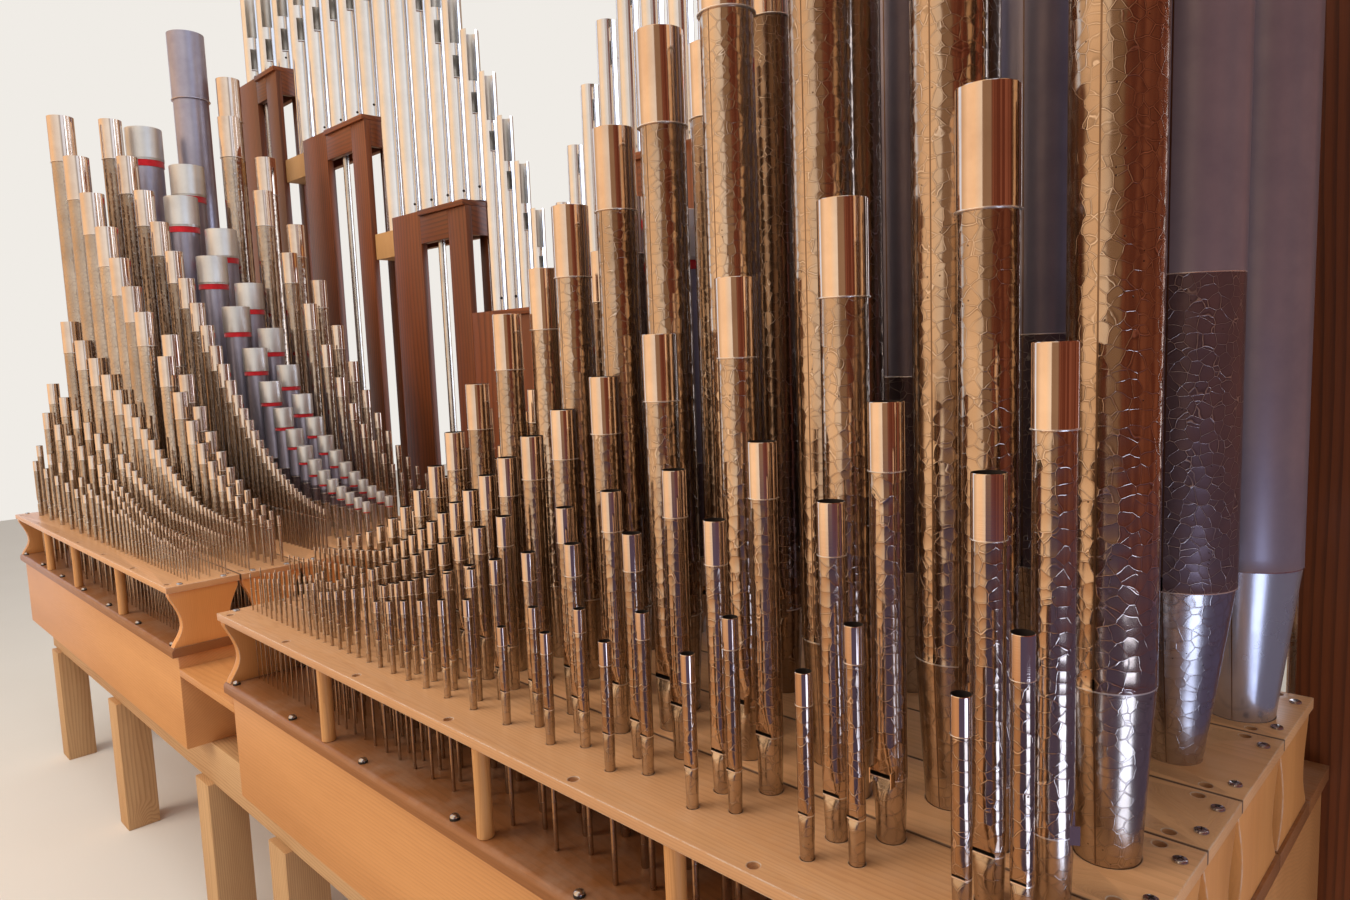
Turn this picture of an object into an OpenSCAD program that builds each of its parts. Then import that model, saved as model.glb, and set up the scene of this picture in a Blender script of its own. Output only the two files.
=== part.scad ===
// Pipework of an open pipe organ: two mirrored windchests on a timber frame,
// nine ranks of pipes on each, and a stepped walnut case with display pipes behind.
// Origin: middle of the footprint, on the floor. +X to the right, +Y to the case, +Z up.

/* [Windchests] */
// Clear gap between the two windchests
middle_gap = 332; // [260:2:420]
// Length of one windchest along the row of notes
chest_length = 1746; // [1600:1:1900]
// Depth of the windchest body below the toe-boards
body_height = 230; // [160:5:300]
// How far the body stands back from the toe-board's front edge
body_setback = 14; // [4:1:30]
// How far the body stands back from the ends of the toe-boards
body_end_setback = 8; // [2:1:20]
// Thickness of a toe-board
toe_board_t = 22; // [16:1:30]
// Depth of the plain closing board behind the last rackboard
tail_board_depth = 141; // [100:1:200]
// Narrow seam between neighbouring boards
board_seam = 2; // [0.6:0.1:3]
// Radius of the rounded front edge of the first toe-board
nose_r = 10; // [4:1:11]

/* [Rackboards] */
// Thickness of a rackboard
rack_t = 15; // [10:1:20]
// Clear height between toe-board and rackboard
rack_clear = 133; // [110:1:160]
// Depth of the first rackboard, which carries the mixture
board_1_depth = 166; // [150:1:190]
// Depth of the second rackboard
board_2_depth = 154; // [140:1:180]
// Depth of the third rackboard
board_3_depth = 130; // [120:1:160]
// Depth of the fourth rackboard
board_4_depth = 199; // [180:1:220]
// Depth of the fifth rackboard
board_5_depth = 178; // [160:1:200]
// Gap between a pipe and its hole in the rackboard
rack_hole_clearance = 0.5; // [0.2:0.1:1.5]
// Thickness of an end block
end_block_t = 22; // [16:1:24]
// How far an end block stands in from the end of its rackboard
end_block_inset = 4; // [0:1:12]
// How far an end block stands in from the long edges of its rackboard
end_block_side_inset = 5; // [2:1:12]
// How deep the waist of an end block is cut on each side
waist_cut = 24; // [10:1:34]
// Height of the waist above the toe-board, as a share of the clear height
waist_share = 0.4; // [0.3:0.05:0.6]
// Diameter of a rack pillar
pillar_d = 24; // [16:1:30]
// Distance of a pillar's middle from the front edge of its rackboard
pillar_from_edge = 17; // [14:1:24]
// Place of the first front pillar, as a share of the chest's length
pillar_1_share = 0.265; // [0.2:0.005:0.3]
// Place of the second front pillar
pillar_2_share = 0.542; // [0.48:0.005:0.58]
// Place of the third front pillar
pillar_3_share = 0.754; // [0.7:0.005:0.82]
// Evenly spaced pillars along the back of the last rackboard
back_pillar_count = 4; // [2:1:6]

/* [Note spacing] */
// Notes on each windchest
notes = 31; // [20:1:31]
// Distance of the lowest note from the outer end of the chest
first_note_inset = 122; // [110:1:150]
// Spacing that the smallest notes come down to
treble_pitch = 20.4; // [19:0.2:22]
// How much wider the lowest notes stand
bass_extra_pitch = 143; // [120:1:150]
// Note at which the extra spacing has halved
pitch_knee = 4.38; // [3.5:0.01:5]
// How quickly the extra spacing falls away
pitch_fall = 1.96; // [1.6:0.01:2.4]

/* [Mixture] */
// Distance of the first mixture row from the chest's front edge
mixture_1_y = 59; // [55:1:62]
// Speaking length of the lowest pipe in the first mixture row
mixture_1_length = 161; // [120:1:220]
// Slide diameter of the lowest pipe in the first mixture row
mixture_1_d = 18.4; // [14:0.2:20]
// Distance of the second mixture row from the chest's front edge
mixture_2_y = 83; // [80:1:86]
// Speaking length of the lowest pipe in the second mixture row
mixture_2_length = 215; // [180:1:280]
// Slide diameter of the lowest pipe in the second mixture row
mixture_2_d = 20.6; // [16:0.2:22]
// Distance of the third mixture row from the chest's front edge
mixture_3_y = 110; // [108:1:112]
// Speaking length of the lowest pipe in the third mixture row
mixture_3_length = 341; // [300:1:400]
// Slide diameter of the lowest pipe in the third mixture row
mixture_3_d = 30.6; // [24:0.2:32]
// Distance of the fourth mixture row from the chest's front edge
mixture_4_y = 145; // [143:1:147]
// Speaking length of the lowest pipe in the fourth mixture row
mixture_4_length = 430; // [380:1:500]
// Slide diameter of the lowest pipe in the fourth mixture row
mixture_4_d = 38.7; // [32:0.2:40]
// Notes between two places where the small rows jump back in pitch
notes_per_break = 6; // [5:1:8]
// How much longer a small row becomes where it jumps back
break_lift = 1.42; // [1.2:0.01:1.5]
// Sideways stagger of the second and fourth rows in the bass
bass_stagger = 42; // [36:1:46]

/* [Open ranks] */
// Distance of the octave rank from the second rackboard's front edge
octave_y = 35; // [34:1:38]
// Speaking length of the octave rank's lowest pipe
octave_length = 662; // [600:1:760]
// How far the octave rank stands off its notes, as a share of their spacing
octave_shift = 0.27; // [0.2:0.01:0.3]
// Slide diameter of the octave rank's lowest pipe
octave_d = 58.9; // [50:0.5:60]
// Distance of the hammered principal rank from the second rackboard's front edge
principal_y = 92; // [90:1:96]
// Speaking length of the principal's lowest pipe
principal_length = 1341; // [1200:1:1500]
// Slide diameter of the principal's lowest pipe
principal_d = 86; // [76:0.5:88]
// Distance of the dark rank from the third rackboard's front edge
dark_y = 86; // [80:1:90]
// Speaking length of the dark rank's lowest pipe
dark_length = 1374; // [1200:1:1500]
// Slide diameter of the dark rank's lowest pipe
dark_d = 76; // [60:0.5:80]
// Distance of the back rank from the fifth rackboard's front edge
back_y = 68; // [66:1:72]
// Speaking length of the back rank's lowest pipe
back_length = 1723; // [1500:1:1900]
// Slide diameter of the back rank's lowest pipe, which is of zinc
zinc_d = 135; // [120:1:138]
// Slide diameter that the slimmer pipes above it are scaled from
back_d = 92; // [80:1:100]

/* [Stopped flute] */
// Distance of the flute from the fourth rackboard's front edge
flute_y = 75; // [72:1:80]
// Speaking length of the flute's lowest pipe
flute_length = 1290; // [1100:1:1400]
// Body diameter of the flute's lowest pipe
flute_d = 120; // [100:1:122]
// Thickness of the felt between body and cap
felt_t = 2.5; // [1:0.1:3]
// Metal thickness of a cap
cap_t = 1.5; // [1:0.1:3]

/* [Pipe making] */
// Share by which a tuning slide is wider than the body
slide_over_body = 0.045; // [0.02:0.005:0.06]
// Length of a tuning slide, in slide diameters
slide_length_ratio = 2; // [1.4:0.1:2.6]
// Share by which the rolled ring of a slide stands out
ring_over_slide = 0.06; // [0.03:0.005:0.08]
// Metal thickness of the smallest pipes
metal_t = 0.7; // [0.5:0.1:1.2]
// Height of a mouth, as a share of the pipe's radius
mouth_height_ratio = 0.27; // [0.2:0.01:0.5]
// Height of the flat above a mouth, as a share of the pipe's radius
upper_flat_ratio = 2.6; // [1.8:0.1:2.8]
// Shortest spacing between zigzag rows, front to back
zigzag_depth = 35; // [30:1:36]
// Spacing between the zigzag rows of the flute
flute_zigzag = 80; // [76:1:84]
// Spacing between the zigzag rows of the back rank
back_zigzag = 66; // [60:1:68]

/* [Walnut case] */
// Depth of the stepped case from front to back
case_depth = 120; // [90:1:160]
// Gap between the windchests and the case
case_gap = 10; // [6:1:30]
// Width of a walnut front post
post_w = 105; // [80:1:120]
// Width of a walnut back post
back_post_w = 50; // [40:1:70]
// Thickness of a case top board
case_board_t = 18; // [14:1:26]
// How far a top board stands out past its posts
case_board_overhang = 9; // [4:1:16]
// Height of the rail under a top board
case_rail_h = 90; // [60:5:130]
// Thickness of posts, rails and panels
case_panel_t = 22; // [16:1:26]
// Width of a bay's wide outer panel, as a share of the bay's length
panel_share = 0.4; // [0.3:0.01:0.42]
// Width of the fourth bay's panel, which closes more of its bay
last_panel_w = 234; // [160:2:250]
// Distance of the first bay from the middle
bay_1_start = 20; // [14:1:40]
// Length of the first, lowest bay
bay_1_length = 318; // [300:1:319]
// Height of the first bay's top above the rackboards
bay_1_top = 650; // [560:5:740]
// Distance of the second bay from the middle
bay_2_start = 340; // [340:1:350]
// Length of the second bay
bay_2_length = 460; // [440:1:470]
// Height of the second bay's top above the rackboards
bay_2_top = 1003; // [900:1:1100]
// Distance of the third bay from the middle
bay_3_start = 950; // [940:1:958]
// Length of the third bay
bay_3_length = 510; // [500:1:530]
// Height of the third bay's top above the rackboards
bay_3_top = 1385; // [1250:5:1500]
// Distance of the fourth bay from the middle
bay_4_start = 1660; // [1620:1:1690]
// Height of the fourth bay's top above the rackboards
bay_4_top = 1720; // [1600:5:1800]
// How far the fourth bay reaches past the outer end of the windchest
case_past_chest = 185; // [160:1:220]
// Height of a light packing block between two bays
packing_h = 90; // [60:1:110]
// Depth of a light packing block
packing_depth = 80; // [66:1:96]
// How far a packing block lies below the top of the lower bay
packing_drop = 38; // [20:1:60]
// Diameter of the slim tube inside each bay
tube_d = 24; // [18:1:30]
// Place of that tube, as a share of the bay's length
tube_share = 0.45; // [0.42:0.01:0.55]
// Distance of that tube from the front of the case
tube_y = 45; // [44:1:50]

/* [Display pipes] */
// Distance of the first display pipe from the middle
display_first = 61; // [55:1:70]
// Spacing of the first two display pipes
display_pitch = 66; // [60:1:72]
// How much wider each next spacing is
display_pitch_step = 6.2; // [5:0.1:7]
// Diameter of a display pipe, as a share of its spacing
display_d_share = 0.64; // [0.5:0.01:0.72]
// Diameter of the widest display pipes
display_widest = 80; // [70:1:84]
// Distance of the display pipes from the front of the case
display_y = 76; // [60:1:80]
// Height of the first display pipe's top above the rackboards
display_top = 940; // [880:5:1000]
// How much higher each next display pipe reaches
display_top_step = 146; // [120:1:150]
// Height that the outer display pipes reach above the rackboards
display_limit = 2140; // [1950:5:2300]
// Length of the open notch at the top of a display pipe, in its diameters
notch_ratio = 2.7; // [2:0.1:3.2]
// Length of the slot below the notch, in its diameters
slot_ratio = 1.1; // [0.8:0.1:2]
// How far notch and slot are turned from the back towards the middle
display_turn = 65; // [30:5:80]
// Height of the pin hole above a display pipe's foot
pin_hole_z = 42; // [30:1:60]
// Diameter of the pin hole
pin_hole_d = 9; // [6:0.5:12]

/* [Frame] */
// Height of the frame that carries the windchests
frame_height = 520; // [400:10:700]
// Width and depth of a frame post
frame_post = 90; // [70:5:110]
// Height of a frame bearer
bearer_h = 110; // [90:5:140]
// Thickness of a frame bearer
bearer_t = 60; // [45:5:80]
// Thickness of the board that closes the gap between the windchests
middle_board_t = 18; // [12:1:25]
// How far that board lies below the toe-boards' underside
middle_board_drop = 30; // [18:1:60]
// How far the front frame posts stand back from the windchests' front
frame_post_setback = 40; // [20:5:80]
// How far the back frame posts stand in from the windchests' back
frame_back_inset = 20; // [10:5:60]
// How far the inner frame posts stand in from the chests' inner ends
frame_inner_inset = 20; // [10:5:60]
// How far the outer frame posts stand in from the chests' outer ends
frame_end_inset = 60; // [40:5:120]
// How far the long bearers stop short of the chests' outer ends
bearer_end_inset = 20; // [10:5:40]
// Width of a tie between frame and case
tie_w = 47; // [40:1:70]

/* [Hidden] */
$fn = 48;
eps = 0.02;

chest_depth = board_1_depth + board_2_depth + board_3_depth + board_4_depth + board_5_depth;
total_depth = chest_depth + tail_board_depth + case_gap + case_depth;
front_y = -total_depth / 2;
board_2_y = front_y + board_1_depth;
board_3_y = board_2_y + board_2_depth;
board_4_y = board_3_y + board_3_depth;
board_5_y = board_4_y + board_4_depth;
tail_y = board_5_y + board_5_depth;
case_y = tail_y + tail_board_depth + case_gap;
inner_x = middle_gap / 2;
outer_x = inner_x + chest_length;

board_starts = [front_y, board_2_y, board_3_y, board_4_y, board_5_y];
board_depths = [board_1_depth, board_2_depth, board_3_depth, board_4_depth, board_5_depth];

case_end = outer_x + case_past_chest;
frame_front = front_y + body_setback + frame_post_setback;
frame_back = tail_y + tail_board_depth - frame_post - frame_back_inset;
frame_xs = [
    -outer_x + frame_end_inset,
    -(inner_x + outer_x) / 2 - frame_post / 2,
    -inner_x - frame_inner_inset - frame_post,
    inner_x + frame_inner_inset,
    (inner_x + outer_x) / 2 - frame_post / 2,
    outer_x - frame_end_inset - frame_post
];

body_top = frame_height + body_height;
toe_top = body_top + toe_board_t;
rack_bottom = toe_top + rack_clear;
rack_top = rack_bottom + rack_t;
below_rack = rack_top - toe_top;

// The left chest stands a semitone higher than the right one.
semitone = pow(2, -1 / 12);
left_share = semitone;

// Spacing between note n and the next smaller one.
function pitch_at(n) = treble_pitch + bass_extra_pitch / (1 + pow(n / pitch_knee, pitch_fall));

// Distance of note n from the lowest note.
function note_run(n) = n == 0 ? 0 : note_run(n - 1) + pitch_at(n - 1);

function note_x(n) = outer_x - first_note_inset - note_run(n);

// Speaking length of note n in a rank that shortens by the given step.
function plain_length(longest, step, n) = longest * pow(step, -n);

// Speaking length of note n in a row that jumps back every few notes.
function broken_length(longest, step, n) =
    plain_length(longest, step, n) * pow(break_lift, floor(n / notes_per_break));

// Diameter of note n, where the width halves after the given number of notes.
function scaled_d(widest, halving, n) = widest * pow(2, -n / halving);

// Outline of an open pipe from its toe up to the top of the slide, and down inside.
// Zero height is the top of the rackboard, and languid_z is the height of the mouth's sill.
function pipe_outline(r, rack_r, languid_z, top_z, has_slide) =
    let (
        slide_r = has_slide ? r * (1 + slide_over_body) : r,
        ring_r = has_slide ? slide_r * (1 + ring_over_slide) : r,
        ring_h = 0.09 * r,
        slide_z = top_z - slide_length_ratio * 2 * r,
        wall = metal_t + 0.012 * r,
        neck_r = 0.5 * r,
        lip_top_z = languid_z + (upper_flat_ratio + 0.5) * r
    )
    [
        [0, -below_rack],
        [neck_r, -below_rack],
        [neck_r, -0.35 * below_rack],
        [rack_r, 0],
        [r, languid_z],
        if (has_slide) [r, slide_z],
        if (has_slide) [ring_r, slide_z],
        if (has_slide) [ring_r, slide_z + ring_h],
        if (has_slide) [slide_r, slide_z + ring_h],
        [slide_r, top_z],
        [r - wall, top_z],
        [r - wall, lip_top_z + 0.3 * r],
        [0.62 * r, lip_top_z],
        [0.62 * r, languid_z + eps],
        [0, languid_z + eps]
    ];

// The mouth: an opening over the sill, and a flat pressed into the metal above and below it.
module mouth_cut(r, rack_r, languid_z) {
    flat_y = -0.71 * r;
    upper_h = upper_flat_ratio * r;
    lower_h = min(1.5 * r, 0.8 * languid_z);
    lower_r = r - (r - rack_r) * lower_h / languid_z;
    upper_tilt = atan((r + flat_y) / upper_h);
    lower_tilt = atan((lower_r + flat_y) / lower_h);
    mouth_h = mouth_height_ratio * r;
    translate([-0.68 * r, -1.1 * r, languid_z + 2 * eps])
        cube([1.36 * r, 0.6 * r, mouth_h]);
    translate([0, flat_y, languid_z + mouth_h])
        rotate([upper_tilt, 0, 0])
            translate([-r, -r, -eps])
                cube([2 * r, r, 1.1 * upper_h]);
    translate([0, flat_y, languid_z])
        rotate([-lower_tilt, 0, 0])
            translate([-r, -r, -1.1 * lower_h])
                cube([2 * r, r, 1.1 * lower_h + 3 * eps]);
}

// One metal pipe, standing with its toe on the toe-board. turn faces the mouth about.
module metal_pipe(slide_d, rack_share, languid_z, length, turn = 0, has_slide = true) {
    r = has_slide ? slide_d / 2 / (1 + slide_over_body) : slide_d / 2;
    rack_r = rack_share * r;
    rotate([0, 0, turn])
        difference() {
            rotate_extrude()
                polygon(pipe_outline(r, rack_r, languid_z, languid_z + length, has_slide));
            mouth_cut(r, rack_r, languid_z);
        }
}

// Radius that a pipe has where it passes the rackboard.
function rack_radius(slide_d, rack_share) = slide_d / 2 / (1 + slide_over_body) * rack_share;

// Sill height of a large pipe: it grows a little with the width.
function sill_height(base, extra, d, widest) = base + extra * pow(d / widest, 2);

// Mirrors a right-hand chest's parts to the left.
module on_side(side) {
    mirror([side < 0 ? 1 : 0, 0, 0])
        children();
}

// Stagger of a zigzag: every second note from the given one stands further back.
function zigzag(n, first, depth) = n >= first && n % 2 == 1 ? depth : 0;

// Places and sizes of each rank, as [x, y, slide diameter, share at the rack, sill, length].
function mixture_stagger(n) = n < notes_per_break ? bass_stagger : -0.33 * pitch_at(n);

function mixture_1_note(n) =
    [note_x(n), front_y + mixture_1_y, scaled_d(mixture_1_d, 12, n), 0.86, 47,
        broken_length(mixture_1_length, 1.121, n)];

function mixture_2_note(n) =
    [note_x(n) + mixture_stagger(n), front_y + mixture_2_y, scaled_d(mixture_2_d, 11, n), 0.86, 48,
        broken_length(mixture_2_length, 1.125, n)];

function mixture_3_note(n) =
    [note_x(n), front_y + mixture_3_y, scaled_d(mixture_3_d, 9, n), 0.86, 48,
        plain_length(mixture_3_length, 1.131, min(n, 16)) * pow(0.96, max(0, n - 16))];

function mixture_4_note(n) =
    [note_x(n) + mixture_stagger(n), front_y + mixture_4_y, scaled_d(mixture_4_d, 8.5, n), 0.86, 68,
        plain_length(mixture_4_length, 1.137, min(n, 16)) * pow(0.96, max(0, n - 16))];

function octave_note(n) =
    [note_x(n) - octave_shift * pitch_at(n), board_2_y + octave_y, scaled_d(octave_d, 8, n), 0.84, 70,
        plain_length(octave_length, 1.133, min(n, 18)) * pow(0.95, max(0, n - 18))];

function principal_note(n) =
    let (d = scaled_d(principal_d, 9.5, n))
    [note_x(n) + (n < notes_per_break ? 50 : n == notes_per_break ? 29 : -0.3 * pitch_at(n)),
        board_2_y + principal_y + zigzag(n, 7, zigzag_depth), d, 0.74,
        sill_height(95, 80, d, principal_d), plain_length(principal_length, 1.145, n)];

function dark_note(n) =
    let (d = scaled_d(dark_d, 9, n))
    [note_x(n), board_3_y + dark_y, d, 0.74,
        sill_height(95, 50, d, dark_d), plain_length(dark_length, 1.136, n)];

function flute_note(n) =
    let (d = scaled_d(flute_d, 9.5, n))
    [note_x(n) + (n == 0 ? 34 : 0), board_4_y + flute_y + zigzag(n, 1, flute_zigzag), d, 0.5,
        sill_height(95, 118, d, flute_d), plain_length(flute_length, 1.138, n)];

function back_note(n) =
    let (
        wide_d = scaled_d(zinc_d, 9, n),
        d = n == 0 ? zinc_d : scaled_d(back_d, 8, n)
    )
    [note_x(n) + (n == 0 ? 59 : 0), board_5_y + back_y + zigzag(n, 1, back_zigzag), d, 0.62,
        sill_height(95, 108, wide_d, zinc_d), plain_length(back_length, 1.1364, n)];

right_mixture_1 = [for (n = [0:notes - 1]) mixture_1_note(n)];
right_mixture_2 = [for (n = [0:notes - 1]) mixture_2_note(n)];
right_mixture_3 = [for (n = [0:notes - 1]) mixture_3_note(n)];
right_mixture_4 = [for (n = [0:notes - 1]) mixture_4_note(n)];
right_octave = [for (n = [0:notes - 1]) octave_note(n)];
right_principal = [for (n = [0:notes - 1]) principal_note(n)];
right_dark = [for (n = [0:notes - 1]) dark_note(n)];
right_flute = [for (n = [0:notes - 1]) flute_note(n)];
right_back = [for (n = [0:notes - 1]) back_note(n)];
all_ranks = [
    [right_mixture_1, right_mixture_2, right_mixture_3, right_mixture_4],
    [right_octave, right_principal],
    [right_dark],
    [right_flute],
    [right_back]
];

function side_share(side) = side < 0 ? left_share : 1;

// A whole rank of open pipes on one chest.
module rank(pipes, side, turn, tone) {
    color(tone)
        on_side(side)
            for (p = pipes)
                translate([p[0], p[1], rack_top])
                    metal_pipe(p[2], p[3], p[4], p[5] * side_share(side), turn);
}

hammered_tone = [0.66, 0.56, 0.47];
dark_tone = [0.42, 0.34, 0.28];
zinc_tone = [0.56, 0.56, 0.63];
pine_tone = [0.88, 0.66, 0.44];
toe_tone = [0.7, 0.47, 0.29];
walnut_tone = [0.4, 0.2, 0.1];

// Stopped flute: bodies without slides, under caps that sit on felt.
module flute_bodies(side) {
    color(zinc_tone)
        on_side(side)
            for (p = right_flute)
                translate([p[0], p[1], rack_top])
                    metal_pipe(p[2], p[3], p[4], p[5] * side_share(side), 180, false);
}

function cap_length(d) = 0.9 * d + 12;

module flute_caps(side) {
    color([0.72, 0.72, 0.7])
        on_side(side)
            for (p = right_flute)
                translate([p[0], p[1], rack_top + p[4] + p[5] * side_share(side)])
                    stopper_cap(p[2]);
}

// A cap is a cup, upside down, that rests on the rim of its pipe.
module stopper_cap(d) {
    inner_r = d / 2 + felt_t;
    outer_r = inner_r + cap_t;
    rotate_extrude()
        polygon([
            [0, 0],
            [inner_r, 0],
            [inner_r, -cap_length(d)],
            [outer_r, -cap_length(d)],
            [outer_r, cap_t],
            [outer_r - cap_t, 2 * cap_t],
            [0, 2 * cap_t]
        ]);
}

// The felt is wrapped round the body and shows as a red band below the cap.
module flute_felts(side) {
    color([0.75, 0.03, 0.08])
        on_side(side)
            for (p = right_flute)
                translate([p[0], p[1], rack_top + p[4] + p[5] * side_share(side)])
                    felt_wrap(p[2]);
}

module felt_wrap(d) {
    rotate_extrude()
        polygon([
            [d / 2, -cap_length(d) - 0.2 * d],
            [d / 2 + felt_t, -cap_length(d) - 0.2 * d],
            [d / 2 + felt_t, -0.5 * cap_length(d)],
            [d / 2, -0.5 * cap_length(d)]
        ]);
}

// Rackboards, with one hole for each pipe.
module rackboards(side) {
    color(pine_tone)
        on_side(side)
            for (i = [0:4])
                difference() {
                    translate([inner_x, board_starts[i] + (i == 0 ? 0 : board_seam), rack_bottom])
                        cube([chest_length, board_depths[i] - (i == 0 ? 0 : board_seam), rack_t]);
                    for (pipes = all_ranks[i], p = pipes)
                        translate([p[0], p[1], rack_bottom - 1])
                            cylinder(r = rack_radius(p[2], p[3]) + rack_hole_clearance, h = rack_t + 2);
                }
}

// Half of the vase profile: a straight shoulder, a hollow waist and a foot that flares out.
function vase_half(depth, share) =
    let (
        half = depth / 2 - end_block_side_inset,
        waist_z = waist_share * rack_clear,
        up = (share * rack_clear - waist_z) / (share * rack_clear > waist_z ? rack_clear - waist_z : waist_z)
    )
    half - waist_cut * (up > 0 ? pow(cos(90 * min(1, up * 1.12)), 1.2) : cos(90 * min(1, -up * 1.06)));

module end_block(depth) {
    steps = 14;
    linear_extrude(height = end_block_t)
        polygon([
            for (k = [0:steps]) [vase_half(depth, k / steps), k / steps * rack_clear],
            for (k = [steps:-1:0]) [-vase_half(depth, k / steps), k / steps * rack_clear]
        ]);
}

module rack_end_blocks(side) {
    color(pine_tone)
        on_side(side)
            for (i = [0:4], x = [inner_x + end_block_inset, outer_x - end_block_inset - end_block_t])
                translate([x, board_starts[i] + board_depths[i] / 2, toe_top])
                    rotate([90, 0, 90])
                        end_block(board_depths[i]);
}

// Turned pillars hold up the front edge of the first board and the back edge of the last.
module rack_pillars(side) {
    front_runs = [for (share = [pillar_1_share, pillar_2_share, pillar_3_share]) share * chest_length];
    back_runs = [for (k = [1:back_pillar_count]) k * chest_length / (back_pillar_count + 1)];
    color(pine_tone)
        on_side(side) {
            for (run = front_runs)
                rack_pillar(run, front_y + pillar_from_edge);
            for (run = back_runs)
                rack_pillar(run, tail_y - pillar_from_edge);
        }
}

module rack_pillar(run, y) {
    translate([inner_x + run, y, toe_top])
        cylinder(d = pillar_d, h = rack_clear);
}

// Toe-boards lie side by side on the body: one under each rackboard and one behind.
module toe_boards(side) {
    color(toe_tone)
        on_side(side) {
            front_toe_board();
            for (i = [1:4])
                toe_board(board_starts[i], board_depths[i]);
            toe_board(tail_y, tail_board_depth);
        }
}

module toe_board(y, depth) {
    translate([inner_x, y + board_seam, body_top])
        cube([chest_length, depth - board_seam, toe_board_t]);
}

module front_toe_board() {
    translate([inner_x, front_y, 0])
        rotate([90, 0, 90])
            linear_extrude(height = chest_length)
                union() {
                    translate([nose_r, body_top])
                        square([board_1_depth - nose_r, toe_board_t]);
                    translate([0, body_top])
                        square([nose_r, toe_board_t - nose_r]);
                    translate([nose_r, toe_top - nose_r])
                        circle(r = nose_r);
                }
}

// The windchest body under the toe-boards, closed all round.
module windchest_body(side) {
    color(pine_tone)
        on_side(side)
            translate([inner_x + body_end_setback, front_y + body_setback, frame_height])
                cube([
                    chest_length - 2 * body_end_setback,
                    chest_depth + tail_board_depth - body_setback,
                    body_height
                ]);
}

// The stepped case: each bay has its distance from the middle, its length and its height.
bays = [
    [bay_1_start, bay_1_length, bay_1_top],
    [bay_2_start, bay_2_length, bay_2_top],
    [bay_3_start, bay_3_length, bay_3_top],
    [bay_4_start, case_end - bay_4_start, bay_4_top]
];
case_front_y = case_y + case_board_overhang;
case_back_y = case_y + case_depth - case_board_overhang - case_panel_t;

function bay_end(b) = b[0] + b[1];
function bay_panel_w(b) = b[0] == bay_4_start ? last_panel_w : panel_share * b[1];
function bay_top_z(b) = rack_top + b[2];
function post_height(b) = bay_top_z(b) - case_board_t;

// Flat posts: a wide one in front at the inner end, and narrow ones at the back.
module case_posts() {
    color(walnut_tone)
        for (side = [-1, 1], b = bays)
            on_side(side) {
                translate([b[0], case_front_y, 0])
                    cube([post_w, case_panel_t, post_height(b)]);
                for (x = [b[0], bay_end(b) - back_post_w])
                    translate([x, case_back_y, 0])
                        cube([back_post_w, case_panel_t, post_height(b)]);
            }
}

// A top board rests on the posts. Its front is cut back where the wide panel covers it.
module case_top_boards() {
    color(walnut_tone)
        for (side = [-1, 1], b = bays)
            on_side(side)
                translate([b[0], case_y, post_height(b)])
                    difference() {
                        cube([b[1], case_depth, case_board_t]);
                        translate([b[1] - bay_panel_w(b), -1, -1])
                            cube([b[1], case_board_overhang + case_panel_t + 1, case_board_t + 2]);
                    }
}

// Rails under each top board and at the height of the windchests, in front, at the back and at both ends.
module case_rails() {
    color(walnut_tone)
        for (side = [-1, 1], b = bays, z = [frame_height, post_height(b) - case_rail_h])
            on_side(side)
                translate([0, 0, z])
                    rail_ring(b);
}

module rail_ring(b) {
    end_rail_y = case_front_y + case_panel_t;
    translate([b[0] + post_w, case_front_y, 0])
        cube([b[1] - post_w - bay_panel_w(b), case_panel_t, case_rail_h]);
    translate([b[0] + back_post_w, case_back_y, 0])
        cube([b[1] - 2 * back_post_w, case_panel_t, case_rail_h]);
    for (x = [b[0], bay_end(b) - case_panel_t])
        translate([x, end_rail_y, 0])
            cube([case_panel_t, case_back_y - end_rail_y, case_rail_h]);
}

// A wide panel closes the outer part of each bay and stands in for its outer front post.
module case_panels() {
    color(walnut_tone)
        for (side = [-1, 1], b = bays)
            on_side(side)
                translate([bay_end(b) - bay_panel_w(b), case_front_y, 0])
                    cube([bay_panel_w(b), case_panel_t, bay_top_z(b)]);
}

// Light blocks bridge the gaps before the third and the fourth bay, and carry a display pipe each.
module packing_blocks() {
    color(pine_tone)
        for (side = [-1, 1], i = [1, 2])
            on_side(side)
                translate([
                    bay_end(bays[i]),
                    case_y + (case_depth - packing_depth) / 2,
                    bay_top_z(bays[i]) - packing_drop - packing_h
                ])
                    cube([bays[i + 1][0] - bay_end(bays[i]), packing_depth, packing_h]);
}

// A slim tube stands on the floor inside each bay and reaches its top board.
module case_tubes() {
    color(display_tone)
        for (side = [-1, 1], b = bays)
            on_side(side)
                translate([b[0] + tube_share * b[1], case_y + tube_y, 0])
                    cylinder(d = tube_d, h = post_height(b));
}

display_tone = [0.85, 0.87, 0.9];

// Display pipes run in one row over all bays, each wider and higher than the one before.
function display_spacing(k) = display_pitch + k * display_pitch_step;
function display_x(k) = display_first + k * display_pitch + k * (k - 1) / 2 * display_pitch_step;
function display_d(k) = min(display_widest, display_d_share * display_spacing(k));

// Height of what a display pipe stands on: the top of its bay, or the block after that bay.
function carrier_z(x) =
    let (i = max([for (j = [0:3]) x >= bays[j][0] ? j : 0]))
    bay_top_z(bays[i]) - (x > bay_end(bays[i]) ? packing_drop : 0);

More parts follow.
